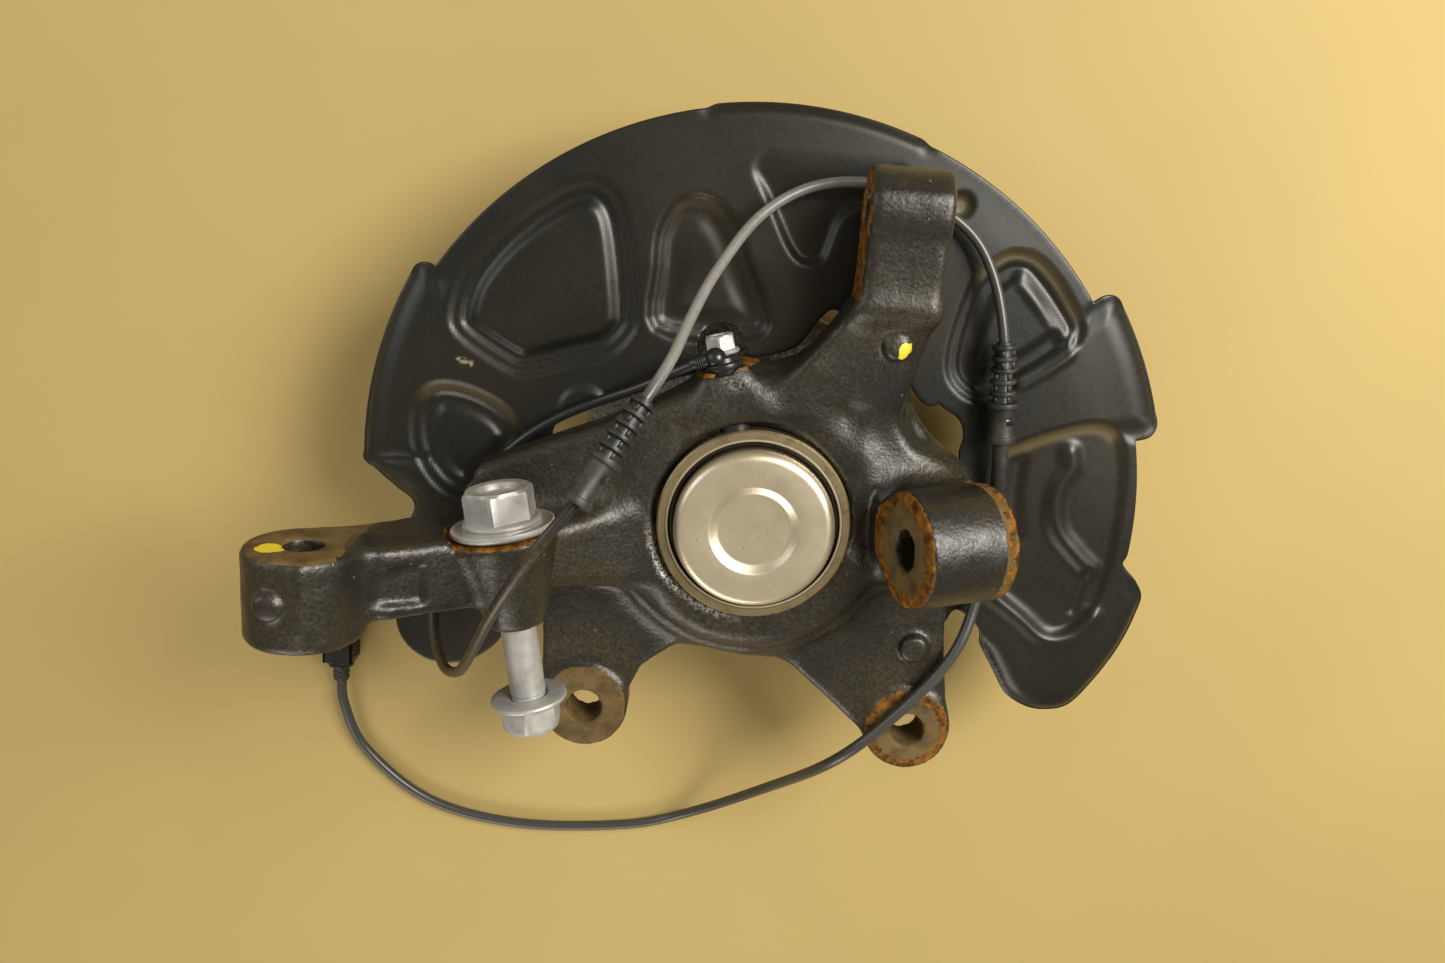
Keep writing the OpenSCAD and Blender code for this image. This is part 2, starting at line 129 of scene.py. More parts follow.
def rounded(profile, r, steps=3):
    """A closed profile of (radius, height) points with each of its corners turned at radius r."""
    out = []
    n = len(profile)
    for i in range(n):
        a, b, c = (np.array(profile[(i + d) % n], float) for d in (-1, 0, 1))
        u, v = a - b, c - b
        lu, lv = np.linalg.norm(u), np.linalg.norm(v)
        cut = min(r, 0.45 * lu, 0.45 * lv)
        start, end = b + u / lu * cut, b + v / lv * cut
        for t in np.linspace(0, 1, steps + 1):
            out.append((1 - t) ** 2 * start + 2 * t * (1 - t) * b + t * t * end)
    return out


def lathe(profile, steps=96, edge=0.4):
    """A closed profile of (radius, height) points turned about Z, with its corners rounded."""
    points = rounded(profile, edge) if edge else profile
    return rings([circle(max(r, 0.001), z, steps) for r, z in points], closed_loop=True)


def nut_ring(across, z, round_r, steps=12):
    """A hexagon across flats, with corners rounded off at radius round_r, as one ring of points."""
    a = np.linspace(0, 2 * math.pi, 6 * steps, endpoint=False)
    flat = (across / 2) / np.cos((a % (math.pi / 3)) - math.pi / 6)
    r = np.minimum(flat, round_r)
    return np.stack([r * np.cos(a + math.pi / 6), r * np.sin(a + math.pi / 6), np.full(len(a), z)], 1)


def hexagon_head(across, z0, z1, chamfer=0.9):
    """Stack of rings of a hexagon head that narrows to a turned chamfer at z1."""
    corner = across / math.sqrt(3)
    tip = 1 if z1 > z0 else -1
    return [
        nut_ring(across, z0, corner),
        nut_ring(across, z1 - tip * 1.6 * chamfer, corner),
        nut_ring(across, z1 - tip * 0.8 * chamfer, corner - 0.6 * chamfer),
        nut_ring(across, z1, across / 2 - 0.2),
    ]


def tube(path, radius, sides=16, caps=True):
    """A tube along a path. radius is one number, or one for each point of the path."""
    path = np.asarray(path, float)
    radius = np.broadcast_to(radius, len(path))
    along = np.gradient(path, axis=0)
    along /= np.linalg.norm(along, axis=1)[:, None]
    side = np.array([0.0, 0.0, 1.0])
    a = np.linspace(0, 2 * math.pi, sides, endpoint=False)[:, None]
    stack = []
    for p, t, r in zip(path, along, radius):
        side = side - side.dot(t) * t
        side /= np.linalg.norm(side)
        stack.append(p + r * (np.cos(a) * side + np.sin(a) * np.cross(t, side)))
    return rings(stack, caps=caps)


def spline(a, b, c, d, t):
    """Point on a Catmull-Rom curve between b and c."""
    return 0.5 * (2 * b + (c - a) * t + (2 * a - 5 * b + 4 * c - d) * t * t
                  + (3 * b - a - 3 * c + d) * t ** 3)


def curve_through(points, per_span=6):
    """A smooth curve through given points."""
    p = np.array(points, float)
    out = []
    for i in range(len(p) - 1):
        a, b, c, d = p[max(i - 1, 0)], p[i], p[i + 1], p[min(i + 2, len(p) - 1)]
        for t in np.linspace(0, 1, per_span, endpoint=False):
            out.append(spline(a, b, c, d, t))
    out.append(p[-1])
    return np.array(out)


# ---------------------------------------------------------------- distance fields

def smooth_min(a, b, k):
    h = np.clip(0.5 + 0.5 * (b - a) / k, 0, 1)
    return b * (1 - h) + a * h - k * h * (1 - h)


def smooth_step(x, start, end):
    t = np.clip((x - start) / (end - start), 0, 1)
    return t * t * (3 - 2 * t)


def rounded_corner(a, b, r):
    """Distance to where two faces meet in an edge rounded at r, from the distances to the faces."""
    a, b = a + r, b + r
    return np.minimum(np.maximum(a, b), 0) + np.hypot(np.maximum(a, 0), np.maximum(b, 0)) - r


def segment_distance(x, y, start, end):
    """Distance in a plane to a straight line between two points."""
    (ax, ay), (bx, by) = start, end
    ex, ey = bx - ax, by - ay
    t = np.clip(((x - ax) * ex + (y - ay) * ey) / (ex * ex + ey * ey), 0, 1)
    return np.hypot(x - ax - ex * t, y - ay - ey * t)


def outline_distance(x, y, corners):
    """Signed distance in a plane to a polygon, negative inside."""
    x, y = np.broadcast_arrays(x, y)
    best = np.full(x.shape, 1e9)
    inside = np.zeros(x.shape, bool)
    for (ax, ay), (bx, by) in zip(corners, corners[1:] + corners[:1]):
        best = np.minimum(best, segment_distance(x, y, (ax, ay), (bx, by)))
        if ay != by:
            inside ^= ((ay > y) != (by > y)) & (x < (bx - ax) * (y - ay) / (by - ay) + ax)
    return np.where(inside, -best, best)


def line_distance(x, y, points):
    """Distance in a plane to a chain of straight lines."""
    best = np.full(np.broadcast(x, y).shape, 1e9)
    for start, end in zip(points, points[1:]):
        best = np.minimum(best, segment_distance(x, y, start, end))
    return best


def rod(u, v, w, r, lo, hi, edge=1.0, r_hi=None):
    """Distance to a cylinder along w, or a cone that ends at radius r_hi, with rounded edges."""
    r_hi = r if r_hi is None else r_hi
    radius = r + (r_hi - r) * np.clip((w - lo) / (hi - lo), 0, 1)
    return rounded_corner(np.hypot(u, v) - radius, np.abs(w - (lo + hi) / 2) - (hi - lo) / 2, edge)


def loft(u, v, w, start, end, edge=3.0):
    """Distance to a bar along u whose section changes: start and end are (u, v, half v, w, half w)."""
    t = np.clip((u - start[0]) / (end[0] - start[0]), 0, 1)
    s = [a + (b - a) * t for a, b in zip(start, end)]
    q = [
        np.abs(u - (start[0] + end[0]) / 2) - abs(end[0] - start[0]) / 2 + edge,
        np.abs(v - s[1]) - s[2] + edge,
        np.abs(w - s[3]) - s[4] + edge,
    ]
    outside = np.sqrt(sum(np.maximum(c, 0) ** 2 for c in q))
    return outside + np.minimum(np.maximum(np.maximum(q[0], q[1]), q[2]), 0) - edge


def slab(flat, w, lo, hi, edge=1.5):
    """Distance to an outline, given as its distance in the plane, drawn out from lo to hi."""
    return rounded_corner(flat, np.abs(w - (lo + hi) / 2) - (hi - lo) / 2, edge)


class Casting:
    """A solid held as a grid of distances, so that parts can be blended with fillets like a casting."""

    FAR = 40.0

    def __init__(self, lo, hi, step):
        self.lo, self.step = np.array(lo, float), step
        counts = np.ceil((np.array(hi) - self.lo) / step).astype(int) + 1
        self.axes = [self.lo[i] + step * np.arange(counts[i]) for i in range(3)]
        self.field = np.full(counts, self.FAR)

    def region(self, lo, hi, margin):
        parts = []
        for axis, a, b in zip(self.axes, lo, hi):
            i, j = np.searchsorted(axis, (a - margin, b + margin))
            parts.append(slice(int(i), int(j)))
        x, y, z = (self.axes[i][parts[i]] for i in range(3))
        return tuple(parts), x[:, None, None], y[None, :, None], z[None, None, :]

    def add(self, shape, lo, hi, fillet=4.0):
        part, x, y, z = self.region(lo, hi, fillet + 3 * self.step)
        self.field[part] = smooth_min(self.field[part], shape(x, y, z), fillet)

    def cut(self, shape, lo, hi, fillet=0.5):
        part, x, y, z = self.region(lo, hi, fillet + 3 * self.step)
        self.field[part] = -smooth_min(-self.field[part], shape(x, y, z), fillet)

    def skin(self):
        """The zero surface, as points and quads: one point in each cell that it passes through."""
        counts = np.array(self.field.shape)
        strides = np.array([counts[1] * counts[2], counts[2], 1])
        cells, places, quads, flips = [], [], [], []
        for axis in range(3):
            lower = [slice(None)] * 3
            upper = [slice(None)] * 3
            lower[axis], upper[axis] = slice(0, -1), slice(1, None)
            a, b = self.field[tuple(lower)], self.field[tuple(upper)]
            index = np.argwhere((a < 0) != (b < 0))
            others = [(axis + 1) % 3, (axis + 2) % 3]
            keep = ((index[:, others] > 0) & (index[:, others] < counts[others] - 1)).all(1)
            index = index[keep]
            va, vb = a[tuple(index.T)], b[tuple(index.T)]
            place = index.astype(float)
            place[:, axis] += va / (va - vb)
            around = []
            for du, dv in ((0, 0), (-1, 0), (-1, -1), (0, -1)):
                cell = index.copy()
                cell[:, others[0]] += du
                cell[:, others[1]] += dv
                around.append(cell @ strides)
                cells.append(around[-1])
                places.append(place)
            quads.append(np.stack(around, 1))
            flips.append(va > 0)
        used, where = np.unique(np.concatenate(cells), return_inverse=True)
        places = np.concatenate(places)
        number = np.bincount(where)
        points = np.stack([np.bincount(where, places[:, i]) / number for i in range(3)], 1)
        faces = np.searchsorted(used, np.concatenate(quads))
        flips = np.concatenate(flips)
        faces[flips] = faces[flips][:, ::-1]
        return self.lo + points * self.step, faces


def local(x, y, z, origin=(0, 0, 0), turn=(0, 0, 0)):
    """Coordinates in a frame that stands at origin, turned by Euler angles in degrees."""
    m = turn_matrix(turn)
    d = [x - origin[0], y - origin[1], z - origin[2]]
    return [m[0, i] * d[0] + m[1, i] * d[1] + m[2, i] * d[2] for i in range(3)]


def placed_shape(shape, origin, turn):
    """A distance to a shape that stands in a frame of its own."""
    return lambda x, y, z: shape(*local(x, y, z, origin, turn))


# ---------------------------------------------------------------- materials

class Paint:
    """One procedural material: its Principled shader, and short helpers that add nodes to it."""

    def __init__(self, name, rough=0.5, metal=0.0):
        self.material = bpy.data.materials.new(name)
        self.material.use_nodes = True
        self.tree = self.material.node_tree
        self.shader = self.tree.nodes["Principled BSDF"]
        self.set("Roughness", rough)
        self.set("Metallic", metal)
        self.place = self.tree.nodes.new("ShaderNodeTexCoord").outputs["Object"]

    def set(self, socket, value):
        self.put(self.shader.inputs[socket], value)

    def put(self, socket, value):
        if isinstance(value, bpy.types.NodeSocket):
            self.tree.links.new(value, socket)
        elif isinstance(value, tuple) and len(value) == 3 and socket.type == "RGBA":
            socket.default_value = (*value, 1)
        else:
            socket.default_value = value

    def node(self, kind, out=0, **inputs):
        """Adds a node. A key that starts with _ sets a property, and any other key sets an input."""
        n = self.tree.nodes.new(kind)
        for key, value in inputs.items():
            if key[0] == "_":
                setattr(n, key[1:], value)
            else:
                self.put(n.inputs[key.replace("_", " ")], value)
        return n.outputs[out]

    def noise(self, size_mm, detail=4, rough=0.55):
        """Noise whose larger features are about size_mm across."""
        return self.node("ShaderNodeTexNoise", Vector=self.place, Scale=1 / (size_mm * MM),
                         Detail=detail, Roughness=rough)

    def cells(self, size_mm):
        """Distance to the nearest of points scattered about size_mm apart."""
        return self.node("ShaderNodeTexVoronoi", "Distance", Vector=self.place, Scale=1 / (size_mm * MM))

    def range(self, value, lo, hi, to_lo=0.0, to_hi=1.0):
        """Value carried over from the range lo to hi into to_lo to to_hi."""
        return self.node("ShaderNodeMapRange", "Result", Value=value, From_Min=lo, From_Max=hi,
                         To_Min=to_lo, To_Max=to_hi)

    def maths(self, operation, a, b=0.0):
        n = self.tree.nodes.new("ShaderNodeMath")
        n.operation = operation
        n.use_clamp = operation in ("ADD", "SUBTRACT")
        self.put(n.inputs[0], a)
        self.put(n.inputs[1], b)
        return n.outputs[0]

    def mix(self, factor, a, b):
        """Colour a where factor is 0, and b where it is 1."""
        return self.node("ShaderNodeMix", "Result", _data_type="RGBA", Factor=factor, A=a, B=b)

    def blend(self, factor, a, b):
        """Number a where factor is 0, and b where it is 1."""
        return self.node("ShaderNodeMix", "Result", Factor=factor, A=a, B=b)

    def layer(self, name):
        """The number from 0 to 1 that mark() stored on the mesh."""
        return self.node("ShaderNodeAttribute", "Fac", _attribute_name=name)

    def bump(self, height, depth_mm, strength=1.0):
        """Makes the surface stand out by depth_mm where height is 1, on top of any earlier bump."""
        earlier = {}
        if self.shader.inputs["Normal"].is_linked:
            earlier["Normal"] = self.shader.inputs["Normal"].links[0].from_socket
        self.set("Normal", self.node("ShaderNodeBump", "Normal", Strength=strength, Distance=depth_mm * MM,
                                     Height=height, **earlier))


BLACK = (0.0085, 0.0082, 0.0070)
DUST = (0.040, 0.031, 0.014)
BROWN_METAL = (0.125, 0.085, 0.034)
RUST_DARK = (0.045, 0.020, 0.004)
RUST_BRIGHT = (0.29, 0.115, 0.013)
YELLOW_MARK = (0.62, 0.48, 0.03)


def cast_black_paint():
    """Black paint over a grainy casting, with rust and bare metal on worked faces and yellow paint dabs."""
    p = Paint("cast_black")
    rust, bare, dab, bare_edge_and_glint = p.layer("rust"), p.layer("bare"), p.layer("dab"), p.layer("bare_edge_and_glint")
    grain = p.noise(1.3, 5, 0.65)
    dust = p.maths("MULTIPLY", p.range(p.noise(34, 3), 0.38, 0.66), p.range(grain, 0.3, 0.7))
    colour = p.mix(dust, BLACK, DUST)
    rust_tone = p.mix(p.range(p.noise(4, 6, 0.7), 0.40, 0.66), RUST_DARK, RUST_BRIGHT)
    metal_tone = p.mix(p.range(p.noise(8, 5), 0.42, 0.68), BROWN_METAL, tuple(0.45 * c for c in BROWN_METAL))
    bared = p.range(p.maths("ADD", bare, p.range(p.noise(2.5, 5), 0.3, 0.7, -0.12, 0.12)), 0.42, 0.58)
    rusty = p.range(p.maths("ADD", rust, p.range(p.noise(3.0, 6, 0.75), 0.3, 0.7, -0.26, 0.26)), 0.46, 0.58)
    colour = p.mix(rusty, p.mix(bared, colour, metal_tone), rust_tone)
    dabbed = p.range(p.maths("ADD", dab, p.range(p.noise(2.5, 4), 0.3, 0.7, -0.3, 0.3)), 0.5, 0.56)
    colour = p.mix(dabbed, colour, YELLOW_MARK)
    # Painted highlight: a grey metallic glint, broken by fine noise, on the bare bore edge and on the sensor
    # pad, standing in for light catching them
    bare_edge_glint_mask = p.maths("MULTIPLY", bare_edge_and_glint, p.range(p.noise(0.9, 3), 0.42, 0.56))
    colour = p.mix(bare_edge_glint_mask, colour, (0.40, 0.39, 0.37))
    specks = p.maths("MULTIPLY", p.maths("LESS_THAN", p.cells(9), 0.04), 0.55)
    p.set("Base Color", p.mix(specks, colour, (0.20, 0.18, 0.13)))
    p.set("Metallic", p.maths("MULTIPLY", bare_edge_glint_mask, 0.7))
    worn = p.maths("MAXIMUM", rusty, bared)
    p.set("Roughness", p.blend(worn, p.range(grain, 0.3, 0.7, 0.28, 0.50), 0.72))
    p.set("Specular IOR Level", p.blend(worn, 0.55, 0.15))
    sand = p.maths("ADD", p.maths("MULTIPLY", grain, 0.6), p.maths("MULTIPLY", p.cells(1.3), 0.3))
    p.bump(p.blend(worn, sand, 0.4), 0.55, 0.42)
    return p.material


def shield_black_paint():
    """Thin smooth black paint on sheet steel, with brown dust in the pressings and two small scratches."""
    p = Paint("shield_black")
    settled = p.layer("dust")
    dust = p.maths("ADD", p.range(p.noise(60, 3), 0.40, 0.70, 0.0, 0.12), p.maths("MULTIPLY", settled, 0.9))
    colour = p.mix(dust, (0.0070, 0.0070, 0.0062), (0.075, 0.056, 0.021))
    scratch = p.maths("MULTIPLY", p.layer("scratch"), p.range(p.noise(1.5, 3), 0.40, 0.5))
    p.set("Base Color", p.mix(scratch, colour, (0.24, 0.21, 0.15)))
    fine = p.noise(1.6, 4)
    p.set("Roughness", p.blend(dust, p.range(fine, 0.3, 0.7, 0.33, 0.41), 0.48))
    p.set("Specular IOR Level", 0.42)
    p.bump(p.noise(9, 3), 0.16, 0.25)
    p.bump(fine, 0.03, 0.30)
    return p.material


def turned_steel(name, colour, dark, rough, lines=0.35, metal=1.0, rust_edge=0.0):
    """Turned metal with fine rings about the hub axis and a mottled film."""
    p = Paint(name, rough=rough, metal=metal)
    flat = p.node("ShaderNodeMapping", Vector=p.place, Scale=(1, 1, 0))
    radius = p.node("ShaderNodeVectorMath", out=1, _operation="LENGTH", Vector=flat)
    stripes = p.node("ShaderNodeTexNoise", _noise_dimensions="1D", W=radius, Scale=1 / (0.5 * MM), Detail=3.0)
    film = p.noise(14, 5, 0.6)
    tone = p.mix(p.range(film, 0.38, 0.68), colour, dark)
    if rust_edge:
        patch = p.range(p.noise(6, 6, 0.75), 0.52, 0.64, 0.0, rust_edge)
        tone = p.mix(patch, tone, RUST_DARK)
    spots = p.maths("LESS_THAN", p.cells(6), 0.05)
    tone = p.mix(p.maths("MULTIPLY", spots, 0.6), tone, (0.07, 0.05, 0.03))
    # Painted shade: the colour darkens to a deep brown where the mesh's mark asks for it, standing in for
    # shade in recesses
    p.set("Base Color", p.mix(p.layer("painted_shade"), tone, (0.035, 0.027, 0.014)))
    p.set("Roughness", p.range(film, 0.3, 0.7, rough * 0.82, rough * 1.2))
    p.bump(stripes, 0.02, lines)
    return p.material


def zinc_plate_paint():
    """Pale zinc plating with a slight mottle and worn darker spots."""
    p = Paint("zinc_plate", metal=0.6)
    tone = p.mix(p.range(p.noise(5, 5, 0.6), 0.35, 0.7), (0.46, 0.46, 0.455), (0.36, 0.36, 0.35))
    worn = p.range(p.noise(1.6, 5, 0.7), 0.60, 0.72, 0.0, 0.7)
    p.set("Base Color", p.mix(worn, tone, (0.30, 0.28, 0.24)))
    p.set("Roughness", p.range(p.noise(3, 4), 0.3, 0.7, 0.42, 0.60))
    p.bump(p.noise(0.8, 4), 0.05, 0.4)
    return p.material


def hub_zinc_paint():
    """Grey zinc-flake coating, speckled light and dark."""
    p = Paint("hub_zinc", rough=0.5, metal=0.55)
    flake = p.node("ShaderNodeTexVoronoi", out="Color", Vector=p.place, Scale=1 / (0.9 * MM))
    light = p.node("ShaderNodeSeparateColor", Color=flake)
    tone = p.mix(p.range(light, 0.2, 0.95), (0.30, 0.29, 0.27), (0.80, 0.78, 0.73))
    p.set("Base Color", p.mix(p.range(p.noise(20, 4), 0.5, 0.7, 0, 0.5), tone, (0.15, 0.13, 0.10)))
    p.bump(light, 0.05, 0.5)
    return p.material


def plastic_paint(name, colour, rough, dust=0.3, grain_mm=0.5):
    """Moulded plastic or rubber with a fine grain and some dust."""
    p = Paint(name, rough=rough)
    film = p.range(p.noise(9, 5, 0.65), 0.42, 0.68, 0, dust)
    p.set("Base Color", p.mix(film, colour, (0.16, 0.145, 0.115)))
    p.set("Roughness", p.range(p.noise(3, 4), 0.3, 0.7, rough * 0.85, min(1, rough * 1.2)))
    p.bump(p.noise(grain_mm, 3), 0.03, 0.5)
    return p.material


def lead_paint():
    """Black lead jacket: grey between its grommets, partly dust and partly a painted sheen, and brown where
    it lies by the arm.
    """
    p = Paint("lead_jacket", rough=0.38)
    grey, brown = p.layer("grey_dust_and_sheen"), p.layer("brown_dust")
    patch = p.range(p.noise(3, 5, 0.7), 0.3, 0.62)
    # Grey between the grommets: partly dust, partly a painted sheen of light along the lead
    dust_and_sheen = p.maths("MULTIPLY", grey, p.range(patch, 0, 1, 0.75, 1.0))
    tone = p.mix(dust_and_sheen, (0.012, 0.012, 0.013), (0.19, 0.187, 0.178))
    tone = p.mix(p.maths("MULTIPLY", brown, patch), tone, (0.050, 0.038, 0.020))
    p.set("Base Color", tone)
    p.set("Roughness", p.blend(p.maths("MAXIMUM", grey, brown), 0.30, 0.42))
    p.bump(p.noise(1.1, 4), 0.06, 0.4)
    return p.material


def bright_metal(name, colour, rough):
    """Clean polished metal with a faint mottle."""
    p = Paint(name, rough=rough, metal=1.0)
    p.set("Base Color", p.mix(p.range(p.noise(2, 4), 0.35, 0.7), colour, tuple(0.75 * c for c in colour)))
    p.set("Roughness", p.range(p.noise(1.2, 3), 0.3, 0.7, rough * 0.8, rough * 1.3))
    p.bump(p.noise(0.6, 3), 0.01, 0.4)
    return p.material


MATERIALS = {
    "cast_black": cast_black_paint(),
    "shield_black": shield_black_paint(),
    "bearing_steel": turned_steel("bearing_steel", (0.44, 0.38, 0.24), (0.28, 0.22, 0.12), 0.42,
                                  rust_edge=0.4),
    "cap_steel": turned_steel("cap_steel", (0.74, 0.67, 0.53), (0.63, 0.56, 0.43), 0.38, 0.03, 0.9),
    "hub_zinc": hub_zinc_paint(),
    "zinc_plate": zinc_plate_paint(),
    "ball_chrome": bright_metal("ball_chrome", (0.72, 0.72, 0.73), 0.08),
    "black_plastic": plastic_paint("black_plastic", (0.010, 0.010, 0.011), 0.30, 0.06),
    "cage_plastic": plastic_paint("cage_plastic", (0.60, 0.50, 0.30), 0.45, 0.1),
    "black_rubber": plastic_paint("black_rubber", (0.012, 0.012, 0.0125), 0.46, 0.18, 1.2),
    "lead_jacket": lead_paint(),
    "terminal_brass": bright_metal("terminal_brass", (0.75, 0.60, 0.28), 0.25),
}


# ---------------------------------------------------------------- camera, light and floor

camera_data = bpy.data.cameras.new("camera")
camera_data.sensor_width = 36.0
camera_data.lens = 27.70
camera = bpy.data.objects.new("camera", camera_data)
bpy.context.scene.collection.objects.link(camera)
right = Vector((0.99678, 0.08020, 0.0))
up = Vector((-0.07747, 0.96281, -0.25882))
toward = Vector((-0.02076, 0.25799, 0.96593))
placed = Matrix((right, up, toward)).transposed().to_4x4()
placed.translation = Vector((-0.02035, 0.11574, 0.456))
camera.matrix_world = placed
bpy.context.scene.camera = camera

FLOOR_Z = cad_box[0][2]
FLOOR_COLOUR = (0.41, 0.305, 0.112)


def soft_light(name, place, aim, size, power, colour=(1, 1, 1)):
    data = bpy.data.lights.new(name, "AREA")
    data.shape = "RECTANGLE"
    data.size, data.size_y = size
    data.energy = power
    data.color = colour
    lamp = bpy.data.objects.new(name, data)
    bpy.context.scene.collection.objects.link(lamp)
    lamp.location = place
    lamp.rotation_euler = (Vector(aim) - Vector(place)).to_track_quat("-Z", "Y").to_euler()


soft_light("key", (0.58, 0.42, 0.80), (0.0, 0.0, 0.05), (0.50, 0.50), 18, (1.0, 0.96, 0.87))
soft_light("window", (-0.75, 0.30, 0.55), (0.0, 0.0, 0.05), (0.4, 0.6), 2.0, (0.92, 0.96, 1.0))
soft_light("low", (-0.30, -0.95, 0.50), (0.0, 0.0, 0.05), (0.7, 0.35), 5.0, (1.0, 0.95, 0.85))

world = bpy.data.worlds.new("studio")
world.use_nodes = True
world.node_tree.nodes["Background"].inputs["Color"].default_value = (0.95, 0.80, 0.57, 1)
world.node_tree.nodes["Background"].inputs["Strength"].default_value = 0.30
bpy.context.scene.world = world
bpy.context.scene.view_settings.view_transform = "Standard"

bpy.ops.mesh.primitive_grid_add(x_subdivisions=8, y_subdivisions=8, size=6, location=(0, 0, FLOOR_Z))
floor = bpy.context.object
floor.name = "floor"
floor_paint = Paint("floor", rough=0.75)
floor_paint.set("Base Color", floor_paint.mix(floor_paint.range(floor_paint.noise(180, 4), 0.3, 0.7),
                                              FLOOR_COLOUR, tuple(0.93 * c for c in FLOOR_COLOUR)))
floor.data.materials.append(floor_paint.material)


# ---------------------------------------------------------------- lead

# The lead's route, as in part.scad, from the sensor to the plug.
LEAD_ROUTE = [
    (-23.5, 55, 71), (-31, 51, 69), (-44, 43.5, 64.5), (-58, 37, 61.5), (-72, 30, 61),
    (-86, 20, 61), (-99, 6, 61), (-108, -12, 61), (-114, -32, 64), (-114, -49, 73),
    (-107, -58, 88), (-98, -53, 104), (-91, -40, 117), (-83, -22, 129.5), (-74, -5, 137.5),
    (-66, 8, 140), (-57, 20, 137), (-48, 35, 130.7), (-38.5, 51, 124),
    (-32, 62, 114), (-27, 74, 100), (-20, 88, 86), (-7, 106, 70), (10, 117, 62),
    (30, 120, 61), (50, 115.5, 61), (67, 106, 61), (77, 91, 62.5), (83, 70, 65),
    (85, 52, 65), (87, 34, 65), (90, 8, 61), (88, -24, 61), (80, -49, 67.5),
    (60, -75, 70), (40, -98, 65), (18, -132, 30), (-14, -165, 0), (-44, -177, -5.5),
    (-93, -180, -5.5), (-134, -171, -5.5), (-163, -147, -5), (-172, -124, -2.5), (-173, -111, -2),
]
LEAD_D = 4.3
REAR_GROMMET = (18, 16)
FRONT_GROMMET = (28, 30)

lead_path = curve_through(LEAD_ROUTE, 8)
route_place = np.arange(len(lead_path)) / 8
slim = smooth_step(route_place, 0.5, 2) * (1 - smooth_step(route_place, 29, 30))
lead = mesh_piece("lead", *tube(lead_path, LEAD_D / 2 * (1 - 0.14 * slim), 16), MATERIALS["lead_jacket"])
route_place = np.repeat(route_place, 16)
# Grey band between the grommets, partly dust and partly painted sheen
mark(lead, "grey_dust_and_sheen", smooth_step(route_place, 17.5, 19) * (1 - 0.8 * smooth_step(route_place, 21, 25)))
mark(lead, "brown_dust", smooth_step(route_place, 7, 9.5) * (1 - smooth_step(route_place, 14.5, 16)))
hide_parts("sensor_lead")


def along_lead(a, b):
    """Origin, rotation and length of the straight line from one route point to another."""
    start, end = np.array(LEAD_ROUTE[a], float), np.array(LEAD_ROUTE[b], float)
    return start, pointing(end - start), float(np.linalg.norm(end - start))


def block_shape(size, turn=(0, 0, 0), origin=(0, 0, 0), bevel=0.25):
    """A small block with bevelled edges, size given as full lengths, moved to origin and then turned."""
    hx, hy, hz = (s / 2 for s in size)
    b = min(bevel, 0.45 * min(size))
    levels = [(-hz, b), (-hz + b, 0), (hz - b, 0), (hz, b)]
    stack = []
    for z, inset in levels:
        x, y = hx - inset, hy - inset
        stack.append([(x - b, y, z), (-x + b, y, z), (-x, y - b, z), (-x, -y + b, z),
                      (-x + b, -y, z), (x - b, -y, z), (x, -y + b, z), (x, y - b, z)])
    points, faces = rings(stack)
    return turned(points + np.array(origin, float), turn=turn), faces


# How far each grommet's window is turned round the lead, in degrees
WINDOW_TURN = {"grommet_rear_ribbed": 40, "grommet_front_ribbed": 60}


def grommet(name, a, b, node):
    """Ribbed rubber grommet: stacked fins joined by webs, a flange, and a barrel with windows."""
    start, matrix, length = along_lead(a, b)
    inner = LEAD_D / 2 + 0.05
    core = [(inner, 0), (inner, length), (5.2, length), (5.2, length - 2.5), (4.5, length - 2.5),
            (4.5, 23.5), (5.8, 23.5), (5.8, 21.5), (3.4, 21.5), (2.8, 0)]
    shapes = [lathe(core, 40, 0.35)]
    for k in range(5):
        z = 1.0 + 4.1 * k
        r = 4.3 + 0.1 * k
        shapes.append(lathe([(inner, z), (r, z), (r, z + 1.5), (inner, z + 1.5)], 40, 0.3))
    for z in np.arange(2.9, 19.5, 4.1):
        for angle in (20, 110, 200, 290):
            shapes.append(block_shape((1.7, 1.5, 2.4), (0, 0, angle + 45 * (z > 10)), (3.0, 0, z + 1.0)))
    points, faces = join(*shapes)
    piece = mesh_piece(name, points @ matrix.T + start, faces, MATERIALS["black_rubber"])
    window = lathe([(4.42, 26.4), (4.56, 26.4), (4.56, 29.4), (4.42, 29.4)], 80, 0)
    angles = np.arctan2(window[0][:, 1], window[0][:, 0])
    wanted = [f for f in window[1] if all(abs(angles[i]) < 0.42 for i in f)]
    turn = turn_matrix((0, 0, WINDOW_TURN[name]))
    slot_piece = mesh_piece(name + "_window", (window[0] @ turn.T) @ matrix.T + start, wanted,
                            MATERIALS["black_plastic"])
    slot_piece.parent = piece
    slot_piece.matrix_parent_inverse = Matrix.Identity(4)
    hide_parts(node)
    return piece


rear_grommet = grommet("grommet_rear_ribbed", *REAR_GROMMET, "grommet_rear")
front_grommet = grommet("grommet_front_ribbed", *FRONT_GROMMET, "grommet_front")


def lead_sleeve():
    """Smooth sleeve that grips the lead below the front grommet."""
    start, matrix, _ = along_lead(30, 31)
    points, faces = lathe([(LEAD_D / 2 + 0.05, 0), (LEAD_D / 2 + 0.05, 20), (2.7, 20), (2.9, 0)], 32, 0.3)
    piece = mesh_piece("sleeve", points @ matrix.T + start, faces, MATERIALS["black_rubber"])
    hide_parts("lead_sleeve")
    return piece


sleeve = lead_sleeve()


